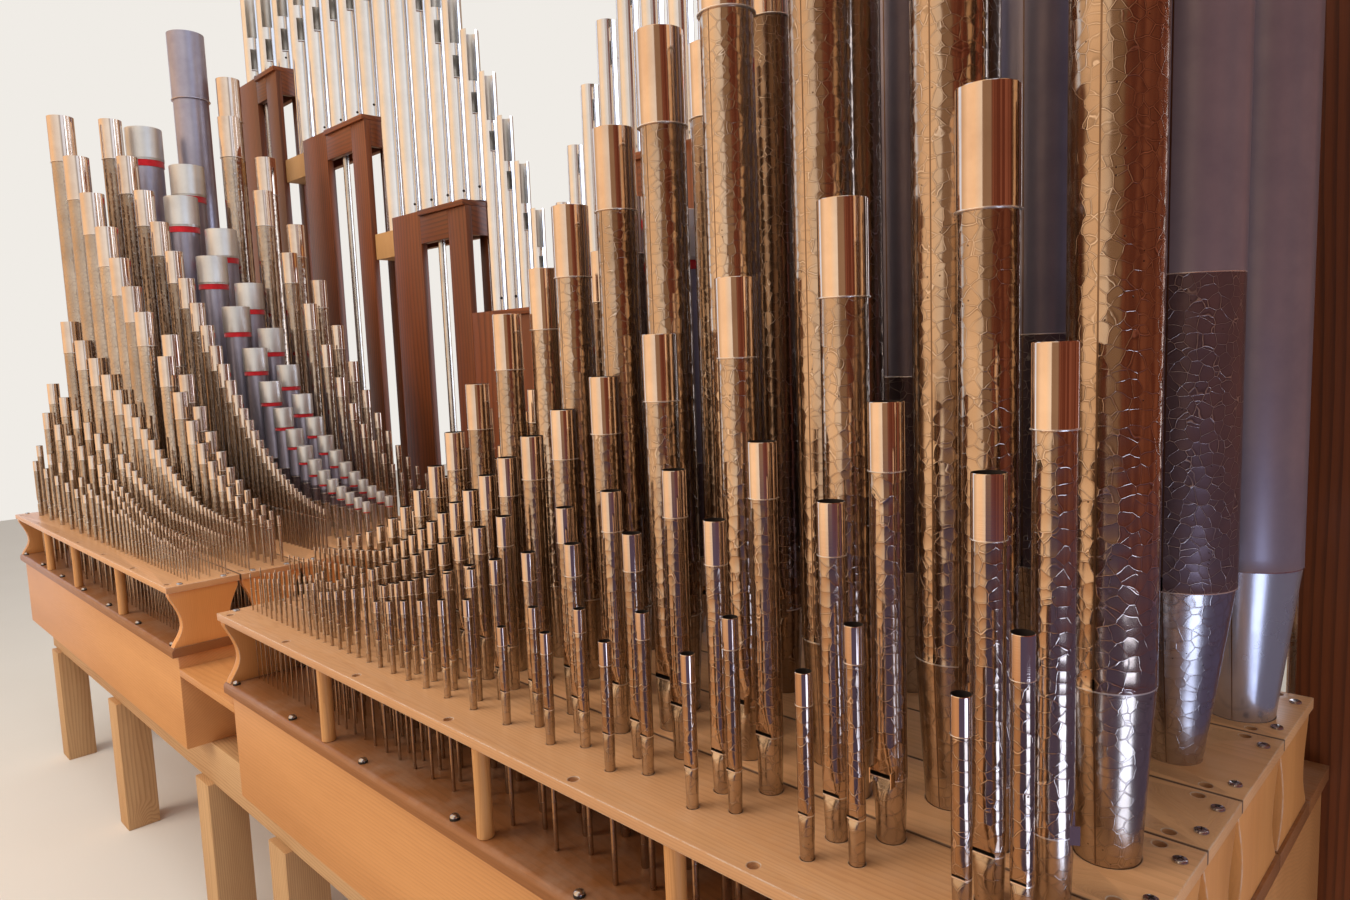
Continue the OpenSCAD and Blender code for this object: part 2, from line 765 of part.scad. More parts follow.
module display_pipe(d, length) {
    notch = notch_ratio * d;
    slot = slot_ratio * d;
    bridge = 0.6 * d;
    bore = notch + bridge + slot + 0.3 * d;
    metal = metal_t + 0.008 * d;
    difference() {
        cylinder(d = d, h = length);
        translate([0, 0, length - bore])
            cylinder(d = d - 2 * metal, h = bore + 1);
        translate([-0.24 * d, -d, length - notch])
            cube([0.48 * d, d, notch + 1]);
        translate([-0.15 * d, -d, length - notch - bridge - slot])
            cube([0.3 * d, d, slot]);
        translate([0, 0, pin_hole_z])
            rotate([90, 0, 0])
                cylinder(d = pin_hole_d, h = d);
    }
}

module display_pipes() {
    steps = [for (k = [0:30]) if (display_x(k) + display_d(k) / 2 <= case_end) k];
    color(display_tone)
        for (side = [-1, 1], k = steps)
            on_side(side) {
                foot_z = carrier_z(display_x(k));
                top_z = rack_top + min(display_limit, display_top + k * display_top_step);
                translate([display_x(k), case_y + display_y, foot_z])
                    rotate([0, 0, -display_turn])
                        display_pipe(display_d(k), top_z - foot_z);
            }
}

// The timber frame under the windchests: posts to the floor, then long and cross bearers.
module frame_posts() {
    color(pine_tone)
        for (x = frame_xs, y = [frame_front, frame_back])
            translate([x, y, 0])
                cube([frame_post, frame_post, frame_height - bearer_h]);
}

// The long bearers lie on the posts and run under both windchests.
module long_bearers() {
    color(pine_tone)
        for (y = [frame_front, frame_back])
            translate([
                -outer_x + bearer_end_inset,
                y + (frame_post - bearer_t) / 2,
                frame_height - bearer_h
            ])
                cube([2 * (outer_x - bearer_end_inset), bearer_t, bearer_h]);
}

module cross_bearers() {
    near_y = frame_front + (frame_post + bearer_t) / 2;
    far_y = frame_back + (frame_post - bearer_t) / 2;
    color(pine_tone)
        for (x = frame_xs)
            translate([x + (frame_post - bearer_t) / 2, near_y, frame_height - bearer_h])
                cube([bearer_t, far_y - near_y, bearer_h]);
}

// Short ties join the case's posts to the back long bearer.
module case_ties() {
    tie_y = frame_back + (frame_post + bearer_t) / 2;
    color(pine_tone)
        for (side = [-1, 1], b = bays)
            on_side(side)
                translate([b[0], tie_y, frame_height - bearer_h])
                    cube([tie_w, case_front_y - tie_y, bearer_h]);
}

// A board closes the gap between the two chests, just below their toe-boards.
module middle_board() {
    color(pine_tone)
        translate([
            -inner_x - body_end_setback,
            front_y + body_setback,
            body_top - middle_board_drop - middle_board_t
        ])
            cube([middle_gap + 2 * body_end_setback, chest_depth, middle_board_t]);
}

frame_posts();
long_bearers();
cross_bearers();
case_ties();
middle_board();
packing_blocks();
case_posts();
case_top_boards();
case_rails();
case_panels();
case_tubes();
display_pipes();
windchest_body(1);  // windchest_body_right
toe_boards(1);  // toe_boards_right
rackboards(1);  // rackboards_right
rack_end_blocks(1);  // rack_end_blocks_right
rack_pillars(1);  // rack_pillars_right
windchest_body(-1);  // windchest_body_left
toe_boards(-1);  // toe_boards_left
rackboards(-1);  // rackboards_left
rack_end_blocks(-1);  // rack_end_blocks_left
rack_pillars(-1);  // rack_pillars_left
rank(right_mixture_1, 1, 0, hammered_tone);  // mixture_1_right
rank(right_mixture_2, 1, 0, hammered_tone);  // mixture_2_right
rank(right_mixture_3, 1, 0, hammered_tone);  // mixture_3_right
rank(right_mixture_4, 1, 0, hammered_tone);  // mixture_4_right
rank(right_octave, 1, 0, hammered_tone);  // octave_rank_right
rank(right_principal, 1, 180, hammered_tone);  // principal_rank_right
rank(right_dark, 1, 0, dark_tone);  // dark_rank_right
rank(right_back, 1, 180, zinc_tone);  // back_rank_right
flute_bodies(1);  // flute_bodies_right
flute_caps(1);  // flute_caps_right
flute_felts(1);  // flute_felts_right
rank(right_mixture_1, -1, 0, hammered_tone);  // mixture_1_left
rank(right_mixture_2, -1, 0, hammered_tone);  // mixture_2_left
rank(right_mixture_3, -1, 0, hammered_tone);  // mixture_3_left
rank(right_mixture_4, -1, 0, hammered_tone);  // mixture_4_left
rank(right_octave, -1, 0, hammered_tone);  // octave_rank_left
rank(right_principal, -1, 180, hammered_tone);  // principal_rank_left
rank(right_dark, -1, 0, dark_tone);  // dark_rank_left
rank(right_back, -1, 180, zinc_tone);  // back_rank_left
flute_bodies(-1);  // flute_bodies_left
flute_caps(-1);  // flute_caps_left
flute_felts(-1);  // flute_felts_left
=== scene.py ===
import bpy
import bmesh
import math
import numpy as np
from mathutils import Matrix, Vector


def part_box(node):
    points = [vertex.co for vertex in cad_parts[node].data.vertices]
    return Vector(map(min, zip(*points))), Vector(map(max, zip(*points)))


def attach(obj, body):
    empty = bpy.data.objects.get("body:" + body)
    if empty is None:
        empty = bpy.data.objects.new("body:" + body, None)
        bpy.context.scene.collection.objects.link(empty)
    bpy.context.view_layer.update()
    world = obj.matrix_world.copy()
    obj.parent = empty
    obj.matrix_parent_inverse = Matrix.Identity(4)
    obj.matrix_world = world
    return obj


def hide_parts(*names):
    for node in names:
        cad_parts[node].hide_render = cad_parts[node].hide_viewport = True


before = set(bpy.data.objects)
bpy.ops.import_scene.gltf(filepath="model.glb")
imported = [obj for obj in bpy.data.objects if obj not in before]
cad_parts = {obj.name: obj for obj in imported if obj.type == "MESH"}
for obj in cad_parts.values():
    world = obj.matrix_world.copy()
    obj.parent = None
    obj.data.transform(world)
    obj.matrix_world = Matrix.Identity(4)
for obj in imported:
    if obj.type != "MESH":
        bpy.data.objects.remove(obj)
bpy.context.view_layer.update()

# Camera.
# The camera stands before the right end of the organ, somewhat lower than a standing person's eye.
# It is turned half to the left and a little down, and is tipped a little off the level.
EYE = Vector((2.140, -1.171, 1.420))
TURNED_LEFT = math.radians(44.80)
TILTED_DOWN = math.radians(6.10)
TIPPED = math.radians(-2.147)
SENSOR_MM, LENS_MM, NEAREST = 36, 24.12, 0.02

lens = bpy.data.cameras.new("lens")
lens.sensor_width = SENSOR_MM
lens.lens = LENS_MM
lens.clip_start = NEAREST
camera = bpy.data.objects.new("camera", lens)
bpy.context.scene.collection.objects.link(camera)
level_forward = Vector((-math.sin(TURNED_LEFT), math.cos(TURNED_LEFT), 0))
level_right = Vector((math.cos(TURNED_LEFT), math.sin(TURNED_LEFT), 0))
forward = math.cos(TILTED_DOWN) * level_forward - math.sin(TILTED_DOWN) * Vector((0, 0, 1))
upward = math.sin(TILTED_DOWN) * level_forward + math.cos(TILTED_DOWN) * Vector((0, 0, 1))
right = math.cos(TIPPED) * level_right + math.sin(TIPPED) * upward
up = -math.sin(TIPPED) * level_right + math.cos(TIPPED) * upward
camera.matrix_world = Matrix.Translation(EYE) @ Matrix((right, up, -forward)).transposed().to_4x4()
bpy.context.scene.camera = camera
bpy.context.scene.view_settings.view_transform = "Standard"


# Studio.
# A pale floor and sky, lit by two wide soft lamps and two windows of light, behind the case and low on the right.
# Polished metal shows what stands round it, so it also sees soft bands of wall and floor colours.
def linear(red, green, blue):
    """A colour as it looks on a screen, 0 to 255, as the light it stands for."""
    shares = [c / 255 for c in (red, green, blue)]
    return tuple(c / 12.92 if c < 0.04045 else ((c + 0.055) / 1.055) ** 2.4 for c in shares) + (1.0,)


def join(tree, made, sockets):
    """Sets each socket of a node to a value, or joins it to another node's output."""
    for name, value in dict(sockets).items():
        if isinstance(value, bpy.types.NodeSocket):
            tree.links.new(value, made.inputs[name])
        else:
            made.inputs[name].default_value = value


def node(tree, kind, sockets=(), **settings):
    """A shader node with its sockets and settings."""
    made = tree.nodes.new("ShaderNode" + kind)
    for name, value in settings.items():
        setattr(made, name, value)
    join(tree, made, sockets)
    return made


def blend(tree, share, first, second):
    """The first colour passing into the second by a share."""
    return node(tree, "Mix", {"Factor": share, 6: first, 7: second}, data_type="RGBA").outputs[2]


def reckon(tree, operation, first, second=0.5, clamped=False):
    """Two numbers put together by one operation, such as ADD."""
    return node(tree, "Math", {0: first, 1: second}, operation=operation, use_clamp=clamped).outputs[0]


def spread(tree, value, low, high, to_low=0.0, to_high=1.0, soft=False):
    """A value carried from one range to another and held at its ends, which are rounded off where soft."""
    sockets = {"Value": value, "From Min": low, "From Max": high, "To Min": to_low, "To Max": to_high}
    return node(tree, "MapRange", sockets, interpolation_type="SMOOTHSTEP" if soft else "LINEAR").outputs[0]


def noise(tree, place, scale, detail, roughness=0.5):
    """A cloudy pattern from 0 to 1."""
    sockets = {"Vector": place, "Scale": scale, "Detail": detail, "Roughness": roughness}
    return node(tree, "TexNoise", sockets).outputs["Fac"]


air = bpy.data.worlds.new("studio_air")
air.use_nodes = True
tree = air.node_tree
tree.nodes.clear()
SKY, SKY_LIGHT, SKY_LIGHT_STRENGTH = linear(240, 236, 230), linear(255, 250, 244), 0.55
# What polished metal sees in each compass direction, in degrees from the right end: walls above and floor below.
WALLS = [(-180, 226, 232, 248), (-172, 226, 232, 248), (-167, 204, 166, 128), (-140, 250, 208, 168),
         (-112, 252, 208, 164), (-92, 236, 208, 180), (-70, 224, 208, 194), (-30, 232, 226, 220),
         (-14, 160, 152, 150), (-6, 230, 236, 250), (62, 232, 238, 252), (72, 182, 156, 134),
         (120, 146, 120, 100), (164, 196, 166, 138), (170, 226, 232, 248), (180, 226, 232, 248)]
GROUND = [(-180, 156, 112, 78), (-120, 200, 142, 96), (-75, 176, 128, 90), (-50, 112, 88, 84),
          (-20, 96, 86, 104), (50, 106, 96, 118), (90, 118, 96, 82), (180, 156, 112, 78)]
GROUND_ENDS, WALLS_START = -0.38, -0.13
BRIGHTER_IN_METAL = 0.22
direction = node(tree, "SeparateXYZ", {0: node(tree, "TexCoord").outputs["Generated"]}).outputs
compass = spread(tree, reckon(tree, "ARCTAN2", direction["Y"], direction["X"]), -math.pi, math.pi)


def all_round(stops):
    """A band of colours round the room, joined softly from one direction to the next."""
    band = node(tree, "ValToRGB", {"Fac": compass})
    marks = band.color_ramp.elements
    for k, (degrees, red, green, blue) in enumerate(stops):
        share = (degrees + 180) / 360
        mark = marks[k] if k < 2 else marks.new(share)
        mark.position, mark.color = share, linear(red, green, blue)
    return band.outputs["Color"]


above = spread(tree, direction["Z"], GROUND_ENDS, WALLS_START, soft=True)
room = blend(tree, above, all_round(GROUND), all_round(WALLS))
path = node(tree, "LightPath").outputs
mirrored = reckon(tree, "MAXIMUM", path["Is Glossy Ray"], path["Is Transmission Ray"])
seen = reckon(tree, "MAXIMUM", path["Is Camera Ray"], mirrored)
strength = node(tree, "Math", {0: mirrored, 1: BRIGHTER_IN_METAL, 2: 1.0}, operation="MULTIPLY_ADD").outputs[0]
shown = node(tree, "Background", {"Color": blend(tree, mirrored, SKY, room), "Strength": strength})
lighting = node(tree, "Background", {"Color": SKY_LIGHT, "Strength": SKY_LIGHT_STRENGTH})
both = node(tree, "MixShader", {0: seen, 1: lighting.outputs[0], 2: shown.outputs[0]})
node(tree, "OutputWorld", {"Surface": both.outputs[0]})
bpy.context.scene.world = air


def soft_lamp(name, place, aim, size, watts, colour, in_metal=False):
    """A soft box that the camera doesn't see, and that polished metal sees only if so asked."""
    lamp = bpy.data.lights.new(name, "AREA")
    lamp.shape = "RECTANGLE"
    lamp.size, lamp.size_y = size
    lamp.energy = watts
    lamp.color = colour[:3]
    held = bpy.data.objects.new(name, lamp)
    bpy.context.scene.collection.objects.link(held)
    held.location = place
    held.rotation_euler = (Vector(aim) - Vector(place)).to_track_quat("-Z", "Y").to_euler()
    held.visible_camera = False
    held.visible_glossy = in_metal


soft_lamp("front_left_box", (-1.6, -4.4, 3.4), (0.2, 0.0, 1.2), (2.6, 2.0), 120, linear(255, 244, 228))
soft_lamp("overhead_box", (0.4, -1.6, 4.6), (0.0, 0.1, 1.0), (3.2, 2.0), 70, linear(255, 250, 244))
soft_lamp("far_window", (1.4, 2.35, 2.2), (-0.6, -0.3, 1.7), (3.0, 2.4), 42, linear(226, 236, 255), in_metal=True)
soft_lamp("low_window", (2.62, -0.62, 0.6), (1.7, -0.3, 0.95), (0.50, 0.46), 2.6, linear(208, 222, 255), in_metal=True)


def new_mesh(name, corners, faces):
    """A mesh of corners and faces."""
    mesh = bpy.data.meshes.new(name)
    mesh.from_pydata(corners, [], faces)
    return mesh


def stage_sheet(name, corners, faces):
    """A plain sheet of the studio, which is no piece of the organ."""
    sheet = bpy.data.objects.new(name, new_mesh(name, corners, faces))
    bpy.context.scene.collection.objects.link(sheet)
    return sheet


def new_finish(name):
    """A material with nothing in it yet but its surface shader, and the place on the piece in metres."""
    made = bpy.data.materials.new(name)
    made.use_nodes = True
    tree = made.node_tree
    tree.nodes.clear()
    surface = node(tree, "BsdfPrincipled")
    node(tree, "OutputMaterial", {"Surface": surface.outputs[0]})
    return made, tree, surface, node(tree, "TexCoord").outputs["Object"]


FLOOR_HALF = 9.0
floor_corners = [(x * FLOOR_HALF, y * FLOOR_HALF, 0) for x, y in ((-1, -1), (1, -1), (1, 1), (-1, 1))]
floor = stage_sheet("studio_floor", floor_corners, [(0, 1, 2, 3)])
floor.visible_glossy = False
floor_finish, tree, surface, place = new_finish("floor_paint")
mottle = noise(tree, place, 1.3, 3.0)
paint = blend(tree, mottle, linear(228, 222, 214), linear(236, 231, 224))
join(tree, surface, {"Base Color": paint, "Roughness": 0.75})
floor.data.materials.append(floor_finish)

# A dark red-brown screen stands close by the right end, with a greyer wing and a dim lower part.
# Only polished metal sees it, as the dark half of each near pipe: it glows with its own colours, a painted reflection.
# From three metres on it fades, as if outshone.
SCREEN_PLAN, SCREEN_HIGH = [(1.95, -2.1), (2.75, -1.6), (2.75, 0.0), (2.3, 0.95)], 5.0
WING_UP_TO, LOWER_PART, FADING = (-1.66, -1.56), (0.75, 1.25), (2.8, 3.8)
screen = stage_sheet("side_screen", [(x, y, z) for x, y in SCREEN_PLAN for z in (0.0, SCREEN_HIGH)],
                     [(0, 2, 3, 1), (2, 4, 5, 3), (4, 6, 7, 5)])
screen.visible_camera = screen.visible_diffuse = screen.visible_shadow = False
screen_glow, tree, surface, place = new_finish("screen_glow")
glow_stripes = noise(tree, node(tree, "Mapping", {"Vector": place, "Scale": (5.0, 5.0, 0.12)}).outputs[0], 1.0, 2.0)
glow = blend(tree, spread(tree, glow_stripes, 0.40, 0.66, soft=True), linear(100, 49, 34), linear(146, 84, 60))
place = node(tree, "SeparateXYZ", {0: place}).outputs
glow = blend(tree, spread(tree, place["Y"], *WING_UP_TO), linear(154, 118, 90), glow)
glow = blend(tree, spread(tree, place["Z"], *LOWER_PART, soft=True), linear(88, 76, 98), glow)
reach = node(tree, "LightPath").outputs["Ray Length"]
# Painted reflection: the screen's colours are emitted, not lit.
join(tree, surface, {"Base Color": (0, 0, 0, 1), "Roughness": 1.0, "Specular IOR Level": 0.0, "Emission Color": glow,
                     "Emission Strength": 1.0, "Alpha": spread(tree, reach, *FADING, 1.0, 0.0)})
screen.data.materials.append(screen_glow)


# Timber frame under the chests.
# Planed softwood posts, bearers and ties, left plain, with the arrises just eased.
# Each timber is sawn from its own place in the tree, so each shows its own rings.
def islands(vertex_count, first, second):
    """One number for each vertex, the same all over one solid, from the two ends of each edge."""
    mark = np.arange(vertex_count)
    while True:
        low = np.minimum(mark[first], mark[second])
        lower = mark.copy()
        np.minimum.at(lower, first, low)
        np.minimum.at(lower, second, low)
        lower = lower[lower]
        if np.array_equal(lower, mark):
            return mark
        mark = lower


JOINED_WITHIN = 0.00002


def cad_mesh(name):
    """The corners and faces of a CAD node, with corners at one place joined into one."""
    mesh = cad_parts[name].data
    corners = np.empty(len(mesh.vertices) * 3, np.float32)
    mesh.vertices.foreach_get("co", corners)
    corners = corners.reshape(-1, 3)
    faces = np.empty(len(mesh.loops), np.int64)
    mesh.loops.foreach_get("vertex_index", faces)
    keys = np.round(corners / JOINED_WITHIN).astype(np.int64)
    _, kept, joined = np.unique(keys, axis=0, return_index=True, return_inverse=True)
    faces = joined.reshape(-1)[faces].reshape(-1, 3)
    flat = (faces[:, 0] == faces[:, 1]) | (faces[:, 1] == faces[:, 2]) | (faces[:, 2] == faces[:, 0])
    return corners[kept], faces[~flat]


def show(name, mesh, replaced):
    """Puts a finished mesh in the scene, in the place of its CAD node if it has one."""
    piece = bpy.data.objects.new(name, mesh)
    bpy.context.scene.collection.objects.link(piece)
    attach(piece, "root")
    if replaced:
        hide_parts(replaced)
    return piece


def mark_planks(mesh, seed):
    """Gives each solid of a mesh one number of its own, from which its grain is chosen."""
    ends = np.empty(len(mesh.edges) * 2, np.int64)
    mesh.edges.foreach_get("vertices", ends)
    ends = ends.reshape(-1, 2)
    mark = islands(len(mesh.vertices), ends[:, 0], ends[:, 1])
    _, order = np.unique(mark, return_inverse=True)
    chance = np.random.default_rng(seed).random(order.max() + 1)
    plank = mesh.attributes.new("plank", "FLOAT", "POINT")
    plank.data.foreach_set("value", chance[order].astype(np.float32))


def smooth(mesh, degrees):
    """Shades a mesh smooth, but for the edges that turn by more than so many degrees."""
    mesh.polygons.foreach_set("use_smooth", [True] * len(mesh.polygons))
    mesh.set_sharp_from_angle(angle=math.radians(degrees))


ARRIS_FROM = math.radians(60)


def timbers(node_name, wood, eased, seed, shortest=0.0):
    """A wooden CAD node made again with its arrises eased, all but the shortest, and with its curves smooth."""
    corners, faces = cad_mesh(node_name)
    mesh = new_mesh(node_name + "_timber", corners.tolist(), faces.tolist())
    if eased:
        work = bmesh.new()
        work.from_mesh(mesh)
        bmesh.ops.dissolve_limit(work, angle_limit=math.radians(0.5), verts=work.verts, edges=work.edges)
        arrises = [e for e in work.edges if len(e.link_faces) == 2
                   and e.calc_face_angle(0) > ARRIS_FROM and e.calc_length() > shortest]
        bmesh.ops.bevel(work, geom=arrises, offset=eased, segments=2, profile=0.6, affect="EDGES")
        bmesh.ops.triangulate(work, faces=[f for f in work.faces if len(f.verts) > 4])
        work.to_mesh(mesh)
        work.free()
    smooth(mesh, 24)
    mark_planks(mesh, seed)
    mesh.materials.append(wood)
    return show(node_name + "_timber", mesh, node_name)


def shifted(tree, place, by):
    """A place moved by a vector."""
    return node(tree, "VectorMath", {0: place, 1: by}, operation="ADD").outputs[0]


def scaled(tree, vector, share):
    """A vector or a colour made longer or shorter."""
    return node(tree, "VectorMath", {0: vector, "Scale": share}, operation="SCALE").outputs[0]


def swayed(tree, start, place, scale, detail, reach):
    """A start moved this way and that by cloudy noise, half of the reach at most."""
    cloud = node(tree, "TexNoise", {"Vector": place, "Scale": scale, "Detail": detail}).outputs["Color"]
    return shifted(tree, start, scaled(tree, shifted(tree, cloud, (-0.5, -0.5, -0.5)), reach))


def darker(colour, share):
    """A colour of which only a share of the light is left."""
    return tuple(c * share for c in colour[:3]) + (1.0,)


def timber(name, light, dark, along, ring_mm=4.5, ring_share=0.4, knots=0.0, gloss=0.42, dust=0.0, worn=0.0, joints=()):
    """Wood with rings drawn out along one axis, fine fibres and a film of polish.

    Some of it has knots, dust, pale worn arrises, or a dark band of painted shade and grime at the joints across y.
    """
    made, tree, surface, on_piece = new_finish(name)
    axis = "xyz".index(along)
    plank = node(tree, "Attribute", attribute_name="plank").outputs["Fac"]
    # Each plank is cut from its own place in the tree.
    tree_place = [0.11, 0.11, 0.11]
    tree_place[axis] = 7.3
    place = shifted(tree, on_piece, scaled(tree, tuple(tree_place), plank))

    def stretched(share_along, share_across):
        shares = [share_across] * 3
        shares[axis] = share_along
        return node(tree, "Mapping", {"Vector": place, "Scale": tuple(shares)}).outputs[0]

    bent = swayed(tree, place, stretched(0.16, 1.0), 5.0, 1.5, 0.075)
    bent = swayed(tree, bent, stretched(0.08, 1.0), 60.0, 2.0, 0.0035)
    if knots:
        knot = node(tree, "TexVoronoi", {"Vector": stretched(0.4, 1.0), "Scale": 4.5}).outputs["Distance"]
        around = spread(tree, knot, 0.03, 0.25, 0.03 * knots, 0.0, soft=True)
        bent = shifted(tree, bent, scaled(tree, (1.0, 1.0, 1.0), around))
    # The wave texture's rings lie 314 mm apart at scale 1.
    rings = node(tree, "TexWave", {"Vector": bent, "Scale": 314.0 / ring_mm, "Distortion": 0.0},
                 wave_type="RINGS", rings_direction=along.upper(), wave_profile="SAW").outputs["Fac"]
    late = node(tree, "MapRange", {"Value": rings, "From Min": 0.3, "From Max": 1.0},
                interpolation_type="SMOOTHERSTEP").outputs[0]
    fibre = noise(tree, stretched(0.3, 16.0), 70.0, 3.0)
    cloud = noise(tree, stretched(0.12, 1.0), 7.0, 4.0, 0.6)
    depth = reckon(tree, "MULTIPLY", late, ring_share)
    depth = reckon(tree, "ADD", depth, spread(tree, fibre, 0.35, 0.7, -0.06, 0.14))
    depth = reckon(tree, "ADD", depth, spread(tree, cloud, 0.3, 0.7, -0.10, 0.42), clamped=True)
    colour = blend(tree, depth, light, dark)
    colour = scaled(tree, colour, spread(tree, plank, 0.0, 1.0, 0.86, 1.08))
    if knots:
        core = spread(tree, knot, 0.025, 0.07, knots, 0.0, soft=True)
        colour = blend(tree, core, colour, darker(dark, 0.35))
    if dust:
        level = node(tree, "SeparateXYZ", {0: node(tree, "NewGeometry").outputs["Normal"]}).outputs["Z"]
        lying = spread(tree, noise(tree, place, 13.0, 6.0, 0.7), 0.45, 0.75, 0.0, dust)
        lying = reckon(tree, "MULTIPLY", lying, level, clamped=True)
        colour = blend(tree, lying, colour, linear(206, 192, 176))
    if worn:
        eased = node(tree, "Bevel", {"Radius": 0.0022}, samples=4).outputs[0]
        true = node(tree, "NewGeometry").outputs["True Normal"]
        same = node(tree, "VectorMath", {0: eased, 1: true}, operation="DOT_PRODUCT").outputs["Value"]
        rubbed = spread(tree, noise(tree, place, 45.0, 4.0, 0.7), 0.34, 0.52)
        rim = spread(tree, same, 0.985, 0.90, 0.0, worn)
        rim = reckon(tree, "MULTIPLY", rim, rubbed, clamped=True)
        colour = blend(tree, rim, colour, linear(222, 208, 192))
    across = node(tree, "SeparateXYZ", {0: on_piece}).outputs["Y"]
    # Painted shade: each joint between boards gets a dark band for the shade in its gap, with a little grime.
    for joint in joints:
        off = reckon(tree, "ABSOLUTE", reckon(tree, "SUBTRACT", across, joint))
        joint_shade_and_grime = spread(tree, off, 0.0016, 0.0034, 0.85, 0.0, soft=True)
        colour = blend(tree, joint_shade_and_grime, colour, linear(84, 52, 32))
    rough = spread(tree, fibre, 0.0, 1.0, gloss - 0.07, gloss + 0.12)
    relief = reckon(tree, "ADD", reckon(tree, "MULTIPLY", late, -0.3), fibre)
    bump = node(tree, "Bump", {"Height": relief, "Strength": 0.2, "Distance": 0.0004})
    if worn:
        join(tree, bump, {"Normal": eased})
    join(tree, surface, {"Base Color": colour, "Roughness": rough, "Normal": bump.outputs[0]})
    return made


pine_light, pine_dark = linear(214, 172, 124), linear(168, 116, 70)
frame_z, frame_x, frame_y = (timber("frame_pine_" + way, pine_light, pine_dark, along, knots=0.9, gloss=0.55)
                             for way, along in (("upright", "z"), ("long", "x"), ("cross", "y")))
timbers("frame_posts", frame_z, 0.003, 11)
timbers("long_bearers", frame_x, 0.003, 12)
timbers("cross_bearers", frame_y, 0.003, 13)
timbers("case_ties", frame_y, 0.002, 14)
packing_pine = timber("packing_pine", linear(206, 158, 104), linear(150, 98, 54), "z", gloss=0.5)
timbers("packing_blocks", packing_pine, 0.001, 15)


# Windchests and toe-boards.
# Each windchest is a glued box of straight-grained pine with a sealed surface.
# The toe-boards on it are a harder board, painted darker as painted shade, for they lie in the shadow under the
# rackboards; the front one has a rounded nose.
chest_pine = timber("chest_pine", linear(214, 152, 94), linear(176, 114, 64), "x",
                    ring_mm=6, ring_share=0.22, gloss=0.36)
# Painted shade: these colours are darker than the board itself, for the shadow under the rackboards.
toe_wood = timber("toe_board_wood", linear(156, 100, 58), linear(114, 70, 40), "x",
                  ring_mm=4, ring_share=0.2, gloss=0.34, dust=0.2)
for side in ("right", "left"):
    timbers("windchest_body_" + side, chest_pine, 0.002, 21)
    timbers("toe_boards_" + side, toe_wood, 0.0008, 22)
timbers("middle_board", chest_pine, 0.001, 23)


# Rackboards.
# Thin boards of pale, close-grained wood, oiled, with a hole for each pipe and small ones for a screwdriver.
# They lie on shaped end blocks and on turned pillars of the same wood.
def parts_of(name):
    """The lowest and the highest corner of each solid of a CAD node."""
    corners, faces = cad_mesh(name)
    mark = islands(len(corners), faces[:, [0, 1]].reshape(-1), faces[:, [1, 2]].reshape(-1))
    return [(corners[mark == one].min(0), corners[mark == one].max(0)) for one in np.unique(mark)]


def boards(name):
    """Front and back edge of each board of a CAD node, from the front."""
    return sorted((float(low[1]), float(high[1])) for low, high in parts_of(name))


board_edges = boards("rackboards_right")
board_joints = [(before[1] + after[0]) / 2 for before, after in zip(board_edges, board_edges[1:])]
rack_wood = timber("rackboard_wood", linear(226, 170, 120), linear(190, 130, 84), "x",
                   ring_mm=3.4, ring_share=0.28, gloss=0.33, dust=0.12, worn=1.0, joints=board_joints)
block_wood = timber("end_block_wood", linear(220, 152, 88), linear(190, 120, 62), "z",
                    ring_mm=4, ring_share=0.12, gloss=0.34, worn=0.9)
pillar_wood = timber("pillar_wood", linear(218, 158, 98), linear(182, 118, 64), "z",
                     ring_mm=3, ring_share=0.3, gloss=0.38)
HOLE_R, HOLE_STEPS = 0.007, 24
HOLE_FROM_END, HOLE_FROM_EDGE = 0.039, 0.014
FRONT_HOLES = 7
CUT_PAST = 0.002
PILLAR_STEPS, PILLAR_ARRIS, PILLAR_WAIST = 32, 0.001, 0.97


def circle(steps):
    """Points of a circle of radius 1."""
    return [(math.cos(a), math.sin(a)) for a in np.linspace(0, 2 * math.pi, steps, endpoint=False)]


def turned(profile, steps, x=0, y=0):
    """Corners and faces of a shape turned on a lathe about a place, from its profile of radius and height."""
    corners = [(x + radius * a, y + radius * b, level) for radius, level in profile for a, b in circle(steps)]
    faces = [(start + k, start + (k + 1) % steps, start + steps + (k + 1) % steps, start + steps + k)
             for start in range(0, (len(profile) - 1) * steps, steps) for k in range(steps)]
    faces.append(tuple(range(steps))[::-1])
    faces.append(tuple(range((len(profile) - 1) * steps, len(profile) * steps)))
    return corners, faces


def access_holes(side):
    """Places of the holes through which a screwdriver reaches the bolts of the toe-boards."""
    low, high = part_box("rackboards_" + side)
    ends = (low.x + HOLE_FROM_END, high.x - HOLE_FROM_END)
    edges = boards("rackboards_" + side)
    places = [(x, y) for start, stop in edges for y in (start + HOLE_FROM_EDGE, stop - HOLE_FROM_EDGE) for x in ends]
    first_edge = edges[0][0] + HOLE_FROM_EDGE
    pitch = (ends[1] - ends[0]) / (FRONT_HOLES - 1)
    return places + [(ends[0] + k * pitch, first_edge) for k in range(1, FRONT_HOLES - 1)]


